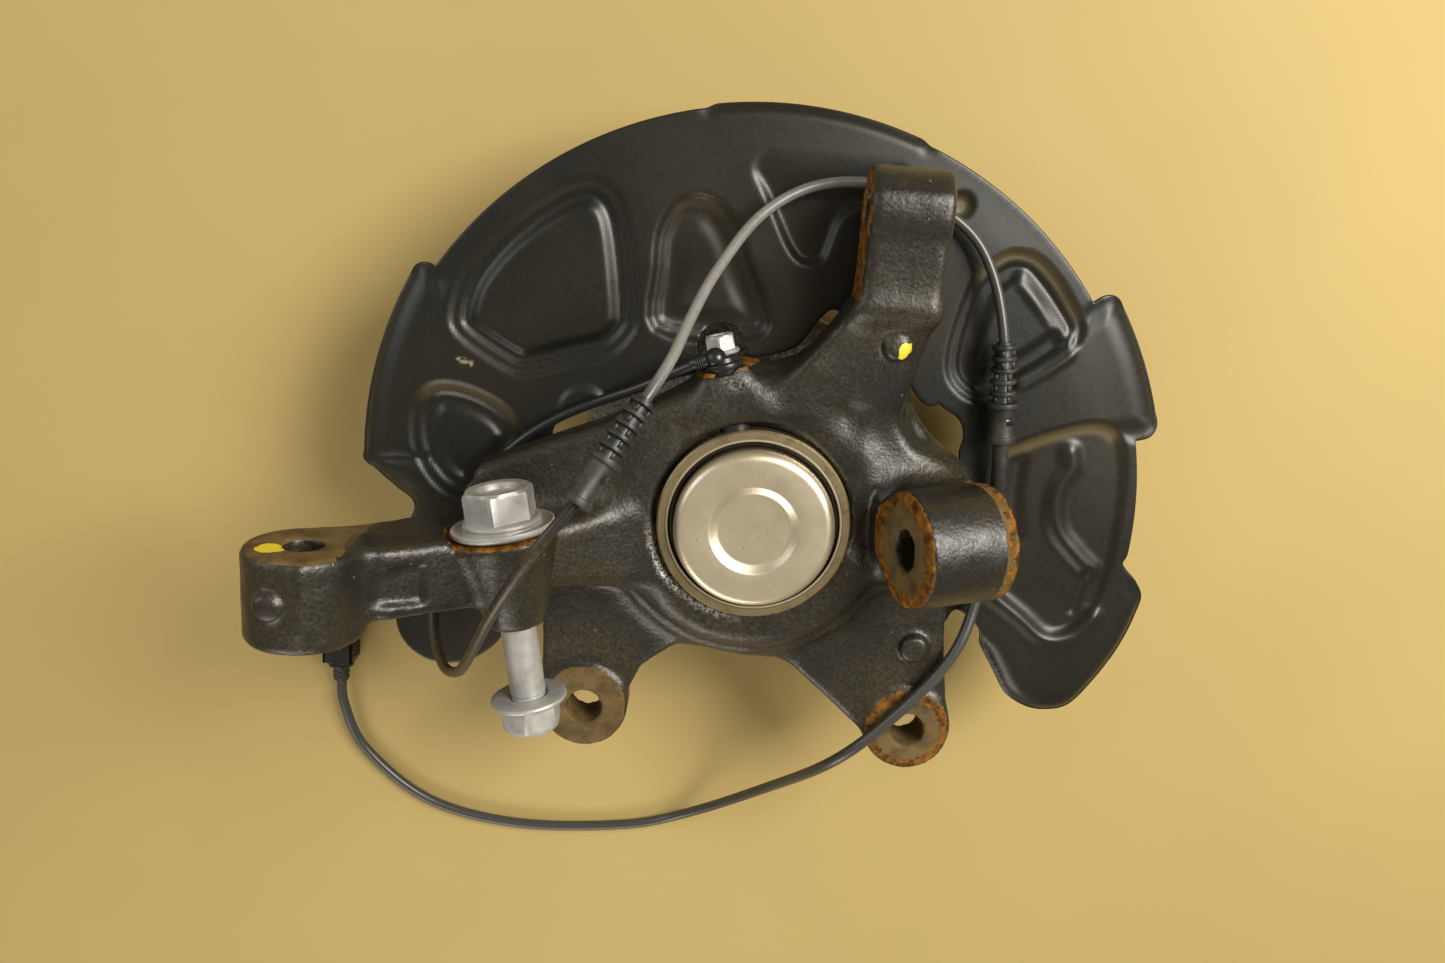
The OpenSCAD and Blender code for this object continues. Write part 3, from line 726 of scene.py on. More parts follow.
def plug():
    """Two-pin plug: ribbed housing, latch, grip band and collar."""
    lo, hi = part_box("plug_housing")
    mid_x, mid_z = (lo.x + hi.x) / 2 / MM, -1.5
    y0, y1 = lo.y / MM + 2.5, hi.y / MM
    body_mid, top_z = (y0 + y1) / 2, mid_z + 6
    wall = 1.6
    half_w, half_h = 6.5, 6.0
    shapes = []

    def add(size, dx, y, z, bevel):
        shapes.append(block_shape(size, origin=(mid_x + dx, y, z), bevel=bevel))

    for dx, dz, w, h in ((0, half_h - wall / 2, 13, wall), (0, wall / 2 - half_h, 13, wall),
                         (half_w - wall / 2, 0, wall, 12), (wall / 2 - half_w, 0, wall, 12)):
        add((w, y1 - y0, h), dx, body_mid, mid_z + dz, 0.5)
    add((12.4, 12, 11.4), 0, y0 + 6, mid_z, 0.6)
    add((16, 4, 13), 0, y1 - 6, mid_z, 0.8)
    add((6, 20, 1.6), 0, body_mid + 2, top_z + 1.2, 0.5)
    add((6, 3, 3), 0, body_mid + 10, top_z + 0.8, 0.7)
    for k in range(4):
        add((14, 0.9, 9), 0, y0 + 3 + 2.4 * k, mid_z, 0.3)
    collar = lathe([(4.3, 0), (5.6, 0), (5.6, 2.5), (4.3, 2.5)], 48, 0.5)
    shapes.append((turned(collar[0], (mid_x, y0 + 0.2, mid_z), (90, 0, 0)), collar[1]))
    piece = mesh_piece("plug", *join(*shapes), MATERIALS["black_plastic"], smooth=False)
    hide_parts("plug_housing")
    return piece


plug_piece = plug()


def plug_seal():
    """Ribbed seal that closes the plug's back round the lead."""
    lo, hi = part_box("plug_seal")
    length = (hi.y - lo.y) / MM
    profile = [(LEAD_D / 2 + 0.05, 0), (LEAD_D / 2 + 0.05, length), (3.2, length)]
    for k in range(3):
        z = length - 6.6 + 2.2 * (2 - k)
        profile += [(3.2, z + 1.4), (3.6, z + 1.0), (3.6, z + 0.4), (3.2, z)]
    profile += [(4.1, length - 7.2), (4.1, 0)]
    shape = lathe(profile, 40, 0.15)
    origin = ((lo.x + hi.x) / 2 / MM, hi.y / MM, (lo.z + hi.z) / 2 / MM)
    points = turned(shape[0], origin, (90, 0, 0))
    piece = mesh_piece("plug_back_seal", points, shape[1], MATERIALS["black_rubber"])
    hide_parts("plug_seal")
    return piece


seal_piece = plug_seal()


# ---------------------------------------------------------------- knuckle

BARREL_R = 51
NOSE_BORE_R = 34.9
BEARING_BORE_R = 38
LUGS = [(-58, -82), (67, -82)]
LUG_R = 16.5
LUG_HOLE_R = 6.6
BRACKET = [
    (-46, 26), (-70, 16), (-76, -30), (-74.5, -82), (-58, -92), (-43.5, -80), (-37.5, -65),
    (-24, -54), (-12, -52.5), (2, -55), (14, -56), (19, -59), (30, -68), (51, -86), (67, -92),
    (83.5, -82), (78, -50), (76, -28), (76, 16), (50, 48), (0, 52),
]
TIE_EYE = (-139, 0, 134)
ARM_SIDE = [
    (-139, 116), (-128, 108), (-115, 96), (-105, 84), (-98, 70), (-84, 70),
    (-78, 84), (-78, 112), (-95, 121), (-114, 134), (-126, 137), (-134, 151),
]
SEAT = (-83, 0, 108)
SEAT_TURN = (90, 0, 10)
BOSS_L = 32
LINK_HOLE_R = 6.4
EYE_MID = (66.25, 1.75, 91.5)
EYE_TURN = (0, 109, 4.5)
EYE_R = 20.5
EYE_HALF = 16.5
EYE_BORE_R = 7.1
UPPER_EYE = (41, 112, 80)
UPPER_EYE_R = 14
UPPER_EYE_HALF = 13.5
ARM_BORE_R = 6.1
SENSOR_TURN = 15.4
SENSOR_FRAME = ((0, 0, 0), (0, 0, SENSOR_TURN))
SENSOR_SEAT = 56
WEB_LEFT = [(-30, 36), (-23, 42), (-7, 46.5), (-2, 50), (7, 53.5), (13, 57.5), (22, 50), (20, 36)]
WEB_RIGHT = [(34, 50), (45, 46), (50, 38), (55, 32), (67, 27.5), (76, 20), (70, 5), (34, 5)]
EARS = [(60 * math.cos(math.radians(a)), 60 * math.sin(math.radians(a))) for a in (172, 205, 338)]


def knuckle_solid(step):
    """The knuckle as a casting, then its machined faces and bores."""
    c = Casting((-164, -106, 28), (92, 132, 158), step)

    def pin(x0, y0, r, z0, z1, edge=0.1):
        return lambda x, y, z: rod(x - x0, y - y0, z, r, z0, z1, edge)

    c.add(lambda x, y, z: slab(outline_distance(x, y, BRACKET), z, 54.5, 64, 2.5),
          (-80, -100, 54), (90, 54, 64), 1)
    c.add(pin(0, 0, 46, 32, 52, 2), (-46, -46, 32), (46, 46, 52), 2)
    c.add(pin(0, 0, BARREL_R, 46, 76, 9), (-51, -51, 46), (51, 51, 76), 14)
    for x0, y0 in LUGS:
        c.add(pin(x0, y0, LUG_R, 48, 66, 1.2), (x0 - 17, y0 - 17, 48), (x0 + 17, y0 + 17, 66), 3)
    c.add(pin(65.5, -48, 5.5, 60, 68, 1.5), (60, -54, 60), (71, -42, 68), 1.5)
    for x0, y0 in EARS:
        c.add(pin(x0, y0, 7, 55.6, 64, 1), (x0 - 7, y0 - 7, 55), (x0 + 7, y0 + 7, 64), 3)

    # Wing from the barrel out to the tie arm, and the deep root under the link bolt
    c.add(lambda x, y, z: loft(x, y, z, (-28, 8, 36, 69, 8), (-99, -3, 17.5, 76, 8.5), 4),
          (-99, -30, 60), (-28, 44, 86), 9)
    c.add(lambda x, y, z: loft(x, y, z, (-40, -11, 15, 69, 8), (-88, -13.5, 10, 97, 13), 5),
          (-88, -27, 60), (-40, 5, 111), 9)

    # Tie arm, its eye, the tapered boss that the link bolt runs through, and a pimple on the eye
    c.add(lambda x, y, z: slab(outline_distance(x, z, ARM_SIDE), y, -24, 0, 3),
          (-140, -24, 70), (-78, 0, 151), 6)
    c.add(lambda x, y, z: rod(x - TIE_EYE[0], z - TIE_EYE[2], y, 18, -30, 0, 2.5),
          (-157, -30, 116), (-121, 0, 152), 5)
    c.add(placed_shape(lambda u, v, w: rod(u, v, w, 18, 0, BOSS_L, 1.2, 9.8), SEAT, SEAT_TURN),
          (-103, -36, 88), (-63, 6, 128), 3.5)
    c.add(pin(-143.5, -14, 4.5, 140, 154.2, 2), (-149, -19, 145), (-138, -9, 155), 1.5)

    # Gooseneck, its eye and a small round stud
    c.add(lambda x, y, z: loft(y, x, z, (44, 25, 24, 66, 9), (82, 41, 13.4, 78, 11.5), 4),
          (1, 44, 57), (55, 82, 90), 11)
    c.add(lambda x, y, z: loft(y, x, z, (77, 41, 13.5, 78, 11.8), (119, 41, 13.6, 80, 13.6), 3),
          (27, 77, 66), (55, 119, 94), 8)
    c.add(lambda x, y, z: rod(y - UPPER_EYE[1], z - UPPER_EYE[2], x - UPPER_EYE[0], UPPER_EYE_R,
                              -UPPER_EYE_HALF, UPPER_EYE_HALF, 2), (27, 98, 66), (55, 126, 94), 2)
    c.add(pin(42, 67.6, 4.6, 80, 87.4, 1.4), (37, 62, 80), (47, 73, 88), 1.2)

    # Trailing link eye and its root
    c.add(lambda x, y, z: loft(z, x, y, (56, 59, 18, -1, 26), (90, 65, 12, 1.75, 15), 6),
          (41, -27, 56), (77, 25, 90), 8)
    c.add(placed_shape(lambda u, v, w: rod(u, v, w, EYE_R, -EYE_HALF, EYE_HALF, 1.2), EYE_MID, EYE_TURN),
          (38, -20, 62), (94, 24, 122), 5)

    # Webs beside the gooseneck's root, and the pad that the speed sensor sits on
    for outline in (WEB_LEFT, WEB_RIGHT):
        xs, ys = zip(*outline)
        c.add(lambda x, y, z: slab(outline_distance(x, y, outline), z, 57, 74, 5),
              (min(xs), min(ys), 57), (max(xs), max(ys), 74), 9)
    pad = ((36, 0, 15, 63, 14), (SENSOR_SEAT, 0, 8.4, 64.5, 14.0), 4)
    pad_face = ((SENSOR_SEAT, 0, 13, 66, 20), (SENSOR_SEAT + 14, 0, 13, 66, 20), 0.2)
    c.add(placed_shape(lambda u, v, w: loft(v, u, w, *pad), *SENSOR_FRAME), (-28, 34, 50), (6, 60, 79), 9)
    c.cut(placed_shape(lambda u, v, w: loft(v, u, w, *pad_face), *SENSOR_FRAME),
          (-32, 48, 46), (8, 74, 86), 0.4)

    # Machined faces
    c.cut(pin(0, 0, 36.4, 76, 120), (-37, -37, 74), (37, 37, 96), 0.8)
    for x0, y0 in LUGS:
        c.cut(pin(x0, y0, 19, 66, 96), (x0 - 19, y0 - 19, 65), (x0 + 19, y0 + 19, 76), 0.4)
        c.cut(pin(x0, y0, 19, 18, 48), (x0 - 19, y0 - 19, 40), (x0 + 19, y0 + 19, 49), 0.4)
        c.cut(pin(x0, y0, LUG_HOLE_R, 40, 80), (x0 - 7, y0 - 7, 40), (x0 + 7, y0 + 7, 70), 0.4)
    c.cut(placed_shape(lambda u, v, w: rod(u, v, w, 19, -46, 0, 0.1), SEAT, SEAT_TURN),
          (-106, -6, 84), (-60, 44, 132), 0.5)
    c.cut(lambda x, y, z: -np.minimum(y, -125.5 - x) + 0 * z, (-164, 0, 100), (-125, 10, 158), 0.3)
    c.cut(lambda x, y, z: -np.minimum(27.4 - x, y - 80 - 2 * (27.4 - x)) + 0 * z,
          (10, 80, 60), (27.4, 132, 100), 0.4)
    c.cut(lambda x, y, z: -np.minimum(x - 54.6, y - 92) + 0 * z, (54.6, 92, 60), (70, 132, 100), 0.4)
    for side in (-1, 1):
        c.cut(placed_shape(lambda u, v, w: rod(u, v, side * w, 27, EYE_HALF, EYE_HALF + 12, 0.1),
                           EYE_MID, EYE_TURN), (20, -32, 50), (104, 36, 130), 0.4)

    # Shallow recess in the tie arm's sloping front
    c.cut(placed_shape(lambda u, v, w: loft(u, v, w, (-8.4, 0, 5.6, 2, 4), (8.4, 0, 6.8, 2, 4), 1.6),
                       (-110.5, -13, 131.4), (0, 34, 0)), (-124, -22, 120), (-96, -4, 146), 1.2)

    # Bores
    def bore(origin, turn, r):
        return placed_shape(lambda u, v, w: np.hypot(u, v) - r + 0 * w, origin, turn)

    c.cut(pin(0, 0, BEARING_BORE_R, 0, 70), (-38, -38, 28), (38, 38, 71), 0.3)
    c.cut(pin(0, 0, NOSE_BORE_R, 60, 120), (-35, -35, 60), (35, 35, 96), 0.6)
    c.cut(bore(EYE_MID, EYE_TURN, EYE_BORE_R), (30, -14, 66), (96, 18, 118), 0.4)
    c.cut(bore(UPPER_EYE, (0, 90, 0), ARM_BORE_R), (20, 104, 72), (62, 120, 88), 0.4)
    c.cut(bore(TIE_EYE, (90, 0, 0), ARM_BORE_R), (-147, -34, 126), (-131, 4, 142), 0.4)
    c.cut(bore(SEAT, SEAT_TURN, LINK_HOLE_R), (-92, -40, 99), (-70, 4, 117), 0.4)

    def sensor_bores(u, v, w):
        return np.minimum(rod(u, w - 71, v, 6.15, 30, 80, 0.1), rod(u, w - 58, v, 3.05, 41, 80, 0.1))

    c.cut(placed_shape(sensor_bores, *SENSOR_FRAME), (-30, 26, 52), (4, 70, 80), 0.3)
    for x0, y0 in EARS:
        c.cut(pin(x0, y0, 2.6, 48, 61.5), (x0 - 3, y0 - 3, 50), (x0 + 3, y0 + 3, 62), 0.3)
    return c.skin()


def near(value, at, spread):
    """1 where value is within spread of at, falling to 0 at twice that."""
    return 1 - smooth_step(np.abs(value - at), spread, 2 * spread)


def patch(points, place, r, soft=1.5):
    """1 within r of a place, falling to 0 over soft."""
    return 1 - smooth_step(np.linalg.norm(points - np.array(place), axis=1), r, r + soft)


def knuckle_marks(p):
    """Where the knuckle is rusty, bare, dabbed with paint, or given a painted glint, at each of its points.
    """
    marks = {name: np.zeros(len(p)) for name in ("rust", "bare", "dab", "bare_edge_and_glint")}

    def stain(name, amount):
        marks[name] = np.maximum(marks[name], amount)

    x, y, z = p.T
    r0 = np.hypot(x, y)
    angle = np.degrees(np.arctan2(y, x)) % 360
    low = near(angle, 262, 62)
    stain("rust", near(r0, NOSE_BORE_R, 0.8) * (z > 72) * (0.25 + 0.45 * low))
    # Bare bore edge on the lower left, with a painted highlight on it
    stain("bare_edge_and_glint", near(r0, 36.8, 0.9) * (z > 74) * near(angle, 224, 24))
    # Painted highlight on the sensor pad, where light catches the grain
    stain("bare_edge_and_glint", patch(p, (-10.5, 52, 78), 3.0, 4.0) * 0.3)
    for x0, y0 in LUGS:
        r = np.hypot(x - x0, y - y0)
        face = (z > 65.2) & (r < LUG_R + 0.5)
        outer = smooth_step(r, 11.2, 12.6)
        stain("rust", face * outer * (0.62 if x0 > 0 else 0.40))
        stain("bare", face * (1 - 0.4 * outer))
        stain("rust", ((z < 48.8) & (r < LUG_R + 0.5)) * 0.5)
        stain("bare", ((r < LUG_HOLE_R + 0.7) & (z > 46)) * 1.0)
    u, v, w = local(x, y, z, EYE_MID, EYE_TURN)
    r = np.hypot(u, v)
    here = (np.abs(w) < EYE_HALF + 1) & (r < EYE_R + 1.5)
    on_face = here & (np.abs(np.abs(w) - EYE_HALF) < 0.9)
    stain("rust", on_face * (0.36 + 0.34 * smooth_step(r, EYE_R - 7, EYE_R - 3)))
    stain("bare", on_face * 0.8)
    turned_rim = here & (r > EYE_R - 1.5)
    near_end = smooth_step(w, EYE_HALF - 7.0, EYE_HALF - 4.0)
    stain("rust", turned_rim * near_end * 0.58)
    stain("bare", turned_rim * near_end * 0.8)
    stain("rust", turned_rim * smooth_step(-w, EYE_HALF - 2.0, EYE_HALF - 0.6) * 0.60)
    stain("rust", ((x < 27.9) & (y > 82) & (z > 60)) * 0.62)
    stain("bare", (np.abs(x - 54.5) < 0.5) * (np.hypot(y - UPPER_EYE[1], z - UPPER_EYE[2]) < 13) * 1.0)
    tie_top = (y > -1.0) & (x < -125.5)
    stain("bare", tie_top * 1.0)
    stain("rust", tie_top * (0.28 + 0.2 * smooth_step(x, -135, -115)))
    u, v, w = local(x, y, z, SEAT, SEAT_TURN)
    stain("rust", ((w < 1.4) & (w > -2) & (np.hypot(u, v) < 19.8)) * 0.66)
    u, v, w = local(x, y, z, *SENSOR_FRAME)
    stain("rust", ((v > SENSOR_SEAT - 1.4) & (np.abs(u) < 14) & (z > 49)) * 0.70)
    stain("rust", (z < 33.2) * (r0 < 47) * 0.4)
    for place, size in (((45.5, 66.5, 87), 2.6), ((-147, 0, 140), 3.6), ((-118, -27, 96), 2.5)):
        stain("dab", patch(p, place, size))
    return marks


def roughened(points, faces, amount, keep):
    """Moves points along their normals by an unevenness of amount millimetres, and not where keep is 1."""
    mesh = bpy.data.meshes.new("scratch")
    mesh.from_pydata(points.tolist(), [], faces.tolist())
    normals = np.zeros(len(points) * 3)
    mesh.vertices.foreach_get("normal", normals)
    normals = normals.reshape(-1, 3)
    bpy.data.meshes.remove(mesh)
    rough = np.array([
        noise.noise(Vector(q) / 9.0) * 0.9 + noise.noise(Vector(q) / 3.2) * 0.55 for q in points.tolist()
    ])
    return points + normals * (rough * amount * (1 - keep))[:, None]


KNUCKLE_STEP = 1.35
knuckle_points, knuckle_faces = knuckle_solid(KNUCKLE_STEP)
machined = knuckle_marks(knuckle_points)
keep_true = np.maximum(machined["bare"], (machined["rust"] > 0.3) * 1.0)
inside_bore = np.hypot(knuckle_points[:, 0], knuckle_points[:, 1]) < 38.6
knuckle_points = roughened(knuckle_points, knuckle_faces, 0.22, np.maximum(keep_true, inside_bore))
knuckle = mesh_piece("knuckle_casting", knuckle_points, knuckle_faces, MATERIALS["cast_black"])
for layer_name, layer_values in machined.items():
    mark(knuckle, layer_name, layer_values)
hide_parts("knuckle")


# ---------------------------------------------------------------- dust shield

SHIELD_Z = 55.5
SHEET_T = 1.5
SHIELD_MID = (0, -1.5)
SHIELD_R = 144.6
SHIELD_HOLE_R = 79
RIGHT_LOBE = [
    (70, -22), (90, -40), (93.5, -49), (100.5, -60), (107, -70), (116, -75.5), (124.5, -76.5),
    (133.5, -73.5), (141.5, -62.5), (148, -50), (152.5, -37), (153.8, -26), (150, -19), (145, -14),
    (120, 10), (80, 10),
]
LEFT_LOBE = [
    (-60, 10), (-120, 14), (-146, 8), (-142, 1.5), (-134, -5), (-127.5, -11), (-130.5, -24), (-133.5, -44),
    (-132, -62), (-122, -72), (-108, -72.5), (-97, -66), (-88, -56), (-68, -42),
]
TONGUE = [
    (29, 90), (24, 79), (18, 71), (12, 62), (4, 58), (-8, 55), (-24, 48.6), (-47, 41.6), (-59, 36.8),
    (-70, 32), (-80, 34), (-70, 60), (-30, 95),
]
# What is cut away below, before the lobes are added
LOWER_CUT = [(0, 0), (-136, 3), (-260, 3), (-260, -260), (260, -260), (260, -12), (145, -13)]
# Filled corner beside the gooseneck, and the round corner of the window next to it
CORNER = [(52, 72), (50, 58), (54, 50), (57, 46), (62, 43.2), (68, 48), (62, 62)]
WINDOW = (65.8, 32.6, 9.6)
NOTCH_W = 16.6
NOTCH_R = 68.6

# Turned tabs round the rim: from angle, to angle, extra radius at each end, width of the bend, depth
RIM_TABS = [
    (146, 181, 7.0, 1.8, 10.0, 6.5),
    (15.0, 37.0, 10.0, 9.6, 11.0, 6.0),
    (68.5, 102, 1.2, 1.2, 5.0, 4.5),
]
ROLL_W = 0.8
ROLL_DEPTH = 0.5


def closed_curve(points, per_span=5):
    """A smooth closed outline through given points."""
    n = len(points)
    p = np.array(points, float)
    out = []
    for i in range(n):
        a, b, c, d = p[i - 1], p[i], p[(i + 1) % n], p[(i + 2) % n]
        for t in np.linspace(0, 1, per_span, endpoint=False):
            q = spline(a, b, c, d, t)
            out.append((float(q[0]), float(q[1])))
    return out


def turned_plane(x, y, degrees):
    """Coordinates in a plane turned by an angle about the hub axis."""
    a = math.radians(degrees)
    return x * math.cos(a) + y * math.sin(a), y * math.cos(a) - x * math.sin(a)


def box_distance(x, y, x0, y0, x1, y1, r):
    """Signed distance in a plane to a rectangle with corners rounded at r."""
    a = np.abs(x - (x0 + x1) / 2) - (x1 - x0) / 2
    b = np.abs(y - (y0 + y1) / 2) - (y1 - y0) / 2
    return rounded_corner(a, b, r)


def shield_outer(x, y):
    """Signed distance to the shield's outline, negative on the sheet."""
    dx, dy = x - SHIELD_MID[0], y - SHIELD_MID[1]
    radius, angle = np.hypot(dx, dy), np.degrees(np.arctan2(dy, dx)) % 360
    lower = outline_distance(x, y, LOWER_CUT)
    sheet = radius - SHIELD_R
    for start, end, extra0, extra1, _, _ in RIM_TABS:
        middle, half = (start + end) / 2, (end - start) / 2
        extra = extra0 + (extra1 - extra0) * np.clip((angle - start) / (end - start), 0, 1)
        off = np.abs((angle - middle + 180) % 360 - 180) - half
        side = np.radians(off) * radius
        tab = rounded_corner(radius - SHIELD_R - extra, side, 7.0)
        sheet = smooth_min(sheet, np.maximum(tab, 100 - radius), 1.0)
    sheet = -smooth_min(-sheet, lower, 5.0)
    sheet = smooth_min(sheet, outline_distance(x, y, closed_curve(RIGHT_LOBE)), 2.0)
    sheet = smooth_min(sheet, outline_distance(x, y, closed_curve(LEFT_LOBE)), 2.0)
    sheet = -smooth_min(-sheet, np.hypot(x, y) - SHIELD_HOLE_R, 4.0)
    tongue = outline_distance(x, y, closed_curve(TONGUE, 3))
    tu, tv = turned_plane(x, y, SENSOR_TURN)
    tongue = np.maximum(tongue, -box_distance(tu, tv, -NOTCH_W / 2, -20, NOTCH_W / 2, NOTCH_R, 7))
    sheet = smooth_min(sheet, tongue, 3.0)
    sheet = smooth_min(sheet, outline_distance(x, y, closed_curve(CORNER, 3)), 2.0)
    sheet = -smooth_min(-sheet, np.hypot(x - WINDOW[0], y - WINDOW[1]) - WINDOW[2], 2.0)
    for ex, ey in EARS:
        turn = math.degrees(math.atan2(ey, ex))
        u, v = turned_plane(x, y, turn)
        ear = np.minimum(box_distance(u, v, 58, -9, 88, 9, 1), np.hypot(u - 60, v) - 9)
        sheet = smooth_min(sheet, ear, 5.0)
        sheet = np.maximum(sheet, 2.8 - np.hypot(u - 60, v))
    return sheet


def turned_down(x, y):
    """How far the sheet's edge is turned down at each point, in millimetres."""
    dx, dy = x - SHIELD_MID[0], y - SHIELD_MID[1]
    radius, angle = np.hypot(dx, dy), np.degrees(np.arctan2(dy, dx)) % 360
    edges = []
    for start, end, _, _, w, depth in RIM_TABS:
        inside = (end - start) / 2 - np.abs((angle - (start + end) / 2 + 180) % 360 - 180)
        edges.append((smooth_step(inside, -0.6, 3.6) * (radius > 120), w, depth))
    curl = smooth_step(x, -150, -143) * (1 - smooth_step(x, -128, -118))
    curl = curl * (1 - smooth_step(np.abs(y + 3), 7, 16))
    lobe = (1 - smooth_step(y, -54, -42)) * (x > 80)
    right = smooth_step(x, 136, 146) * (1 - smooth_step(y, -34, -16))
    edges += [(curl, 10.0, 6.5), (lobe, 9.0, 6.5), (right, 8.0, 6.5)]
    d = shield_outer(x, y)
    down = np.zeros(x.shape)
    for share, w, depth in edges:
        t = np.clip((d + w) / w, 0, 1)
        down = np.maximum(down, share * depth * (1 - np.sqrt(1 - 0.96 * t * t)) / 0.8)
    return down


PANEL_A = [
    (-69, 115), (-60, 113.5), (-53.5, 107), (-49.5, 94), (-46, 68), (-48, 59), (-56, 51), (-70, 46.5),
    (-86, 41.5), (-96, 44), (-112, 54), (-115.5, 63), (-111, 79), (-99, 95), (-82, 109),
]
PANEL_B = [
    (-42, 62), (-43.5, 86), (-43, 98), (-38.5, 108), (-31, 112.5), (-22, 111.5), (-13.5, 104), (-7, 90),
    (2, 68), (-10, 60),
]
PANEL_C = [
    (-3, 134), (-9, 128), (-11, 121), (-7, 114), (-2.5, 106), (3, 96), (8, 90.5), (14, 89.5), (18.5, 92),
    (20.5, 98), (23, 106), (30, 112), (44, 113), (47, 120), (40, 131), (20, 135),
]
PANEL_D = [
    (78, 99), (84, 102), (93, 101), (101, 95), (108, 87), (114.5, 77), (112.5, 68), (102, 58), (88, 48),
    (80, 45), (72, 47.5), (66, 54), (64.5, 64), (67, 80), (71, 92),
]
PANEL_E = [
    (88, 28), (97, 34), (108, 39), (121, 43), (130, 42), (136, 36), (139.5, 22), (140.5, 4), (139.5, -18),
    (136, -32), (127, -42), (117, -44), (106, -36), (95, -27), (87, -12), (85, 8),
]
PANEL_F = [
    (-129.5, 22), (-126.5, 33), (-119, 39), (-107, 38.5), (-94, 33), (-86, 24), (-86, 14), (-98, -1),
    (-106, -8), (-118, -4), (-127, 8),
]
RIDGE_S = [(116, 30), (117.5, 24), (114.5, 18), (113.5, 9), (116.5, -1), (124.5, -9.5), (131, -15)]
SLOT_S = [(130.5, -16), (127, -32)]
RIDGE_LOW = [(91, -26), (100, -31.5), (108, -37), (118, -44), (129, -42.5), (134.5, -34)]
RIDGE_D = [(89, 92), (108, 71), (106, 64), (93, 55)]
GROOVE_E = [(98, 24), (98, 12), (101, -4)]
HALF_ROUND = (-64.5, 31)
DIMPLE = (63.5, 115)
SCRATCH = [(-111, 47), (-106, 45.5)]


# Each panel: outline, dust on its upper edge, depth and width of its first step, then further steps inwards.
PANELS = [
    (PANEL_A, 0.10, 1.4, 2.6, [(-1.4, 4.4, 6.6), (2.3, 7.2, 12.0)]),
    (PANEL_B, 0.15, 2.2, 3.4, [(-1.0, 4.5, 6.8), (0.9, 8.0, 14.0)]),
    (PANEL_C, 0.0, 2.2, 3.6, []),
    (PANEL_D, 0.7, 1.3, 2.4, [(-1.2, 4.2, 6.4), (1.7, 9.5, 13.5)]),
    (PANEL_E, 0.9, 1.8, 3.8, []),
    (PANEL_F, 0.5, 1.3, 2.6, [(-1.3, 4.6, 6.8), (1.4, 9.0, 12.5)]),
]


def shield_height(x, y):
    """How far the sheet is pressed up, in millimetres, and where it is dusty and scratched."""
    h = np.zeros(x.shape)
    dust = np.zeros(x.shape)
    for outline, settled, depth, slope, steps in PANELS:
        curve = closed_curve(outline, 4)
        d = outline_distance(x, y, curve)
        faded = 1 - smooth_step(y, 112, 130) if outline is PANEL_C else 1
        h -= depth * smooth_step(-d, 0, slope) * faded
        for rise, start, end in steps:
            h += rise * smooth_step(-d, start, end)
        uphill = smooth_step(outline_distance(x, y + 1, curve) - d, 0.35, 0.8)
        dust = np.maximum(dust, (1 - smooth_step(np.abs(-d - slope), 0.8, 3.4)) * settled * uphill)

    def ridge(points, height, half):
        d = line_distance(x, y, [tuple(q) for q in curve_through([(*p, 0) for p in points], 4)[:, :2]])
        return height * (1 - smooth_step(d, 0, half))

    h += ridge(RIDGE_S, 2.2, 5.6)
    h -= ridge(SLOT_S, 0.9, 3.0)
    h += ridge(RIDGE_LOW, 1.7, 6.0)
    h += ridge(RIDGE_D, 1.4, 4.5)
    h -= ridge(GROOVE_E, 1.2, 5.0)
    round_press = np.hypot(x - HALF_ROUND[0], y - HALF_ROUND[1])
    h += 1.3 * (1 - smooth_step(round_press, 8.0, 10.5))
    dimple = np.hypot(x - DIMPLE[0], y - DIMPLE[1])
    h -= 1.6 * (1 - smooth_step(dimple, 2.0, 5.5))
    dust = np.maximum(dust, 1 - smooth_step(dimple, 1.0, 5.0))
    # The sheet dishes gently towards its rim and dips around the sensor
    radius = np.hypot(x, y)
    h -= 0.9 * smooth_step(radius, 122, 146)
    h -= 1.2 * (1 - smooth_step(np.hypot(x + 18, y - 72), 8, 24))
    h -= turned_down(x, y)
    scratch = 1 - smooth_step(line_distance(x, y, SCRATCH), 0.4, 1.0)
    return h, dust, scratch


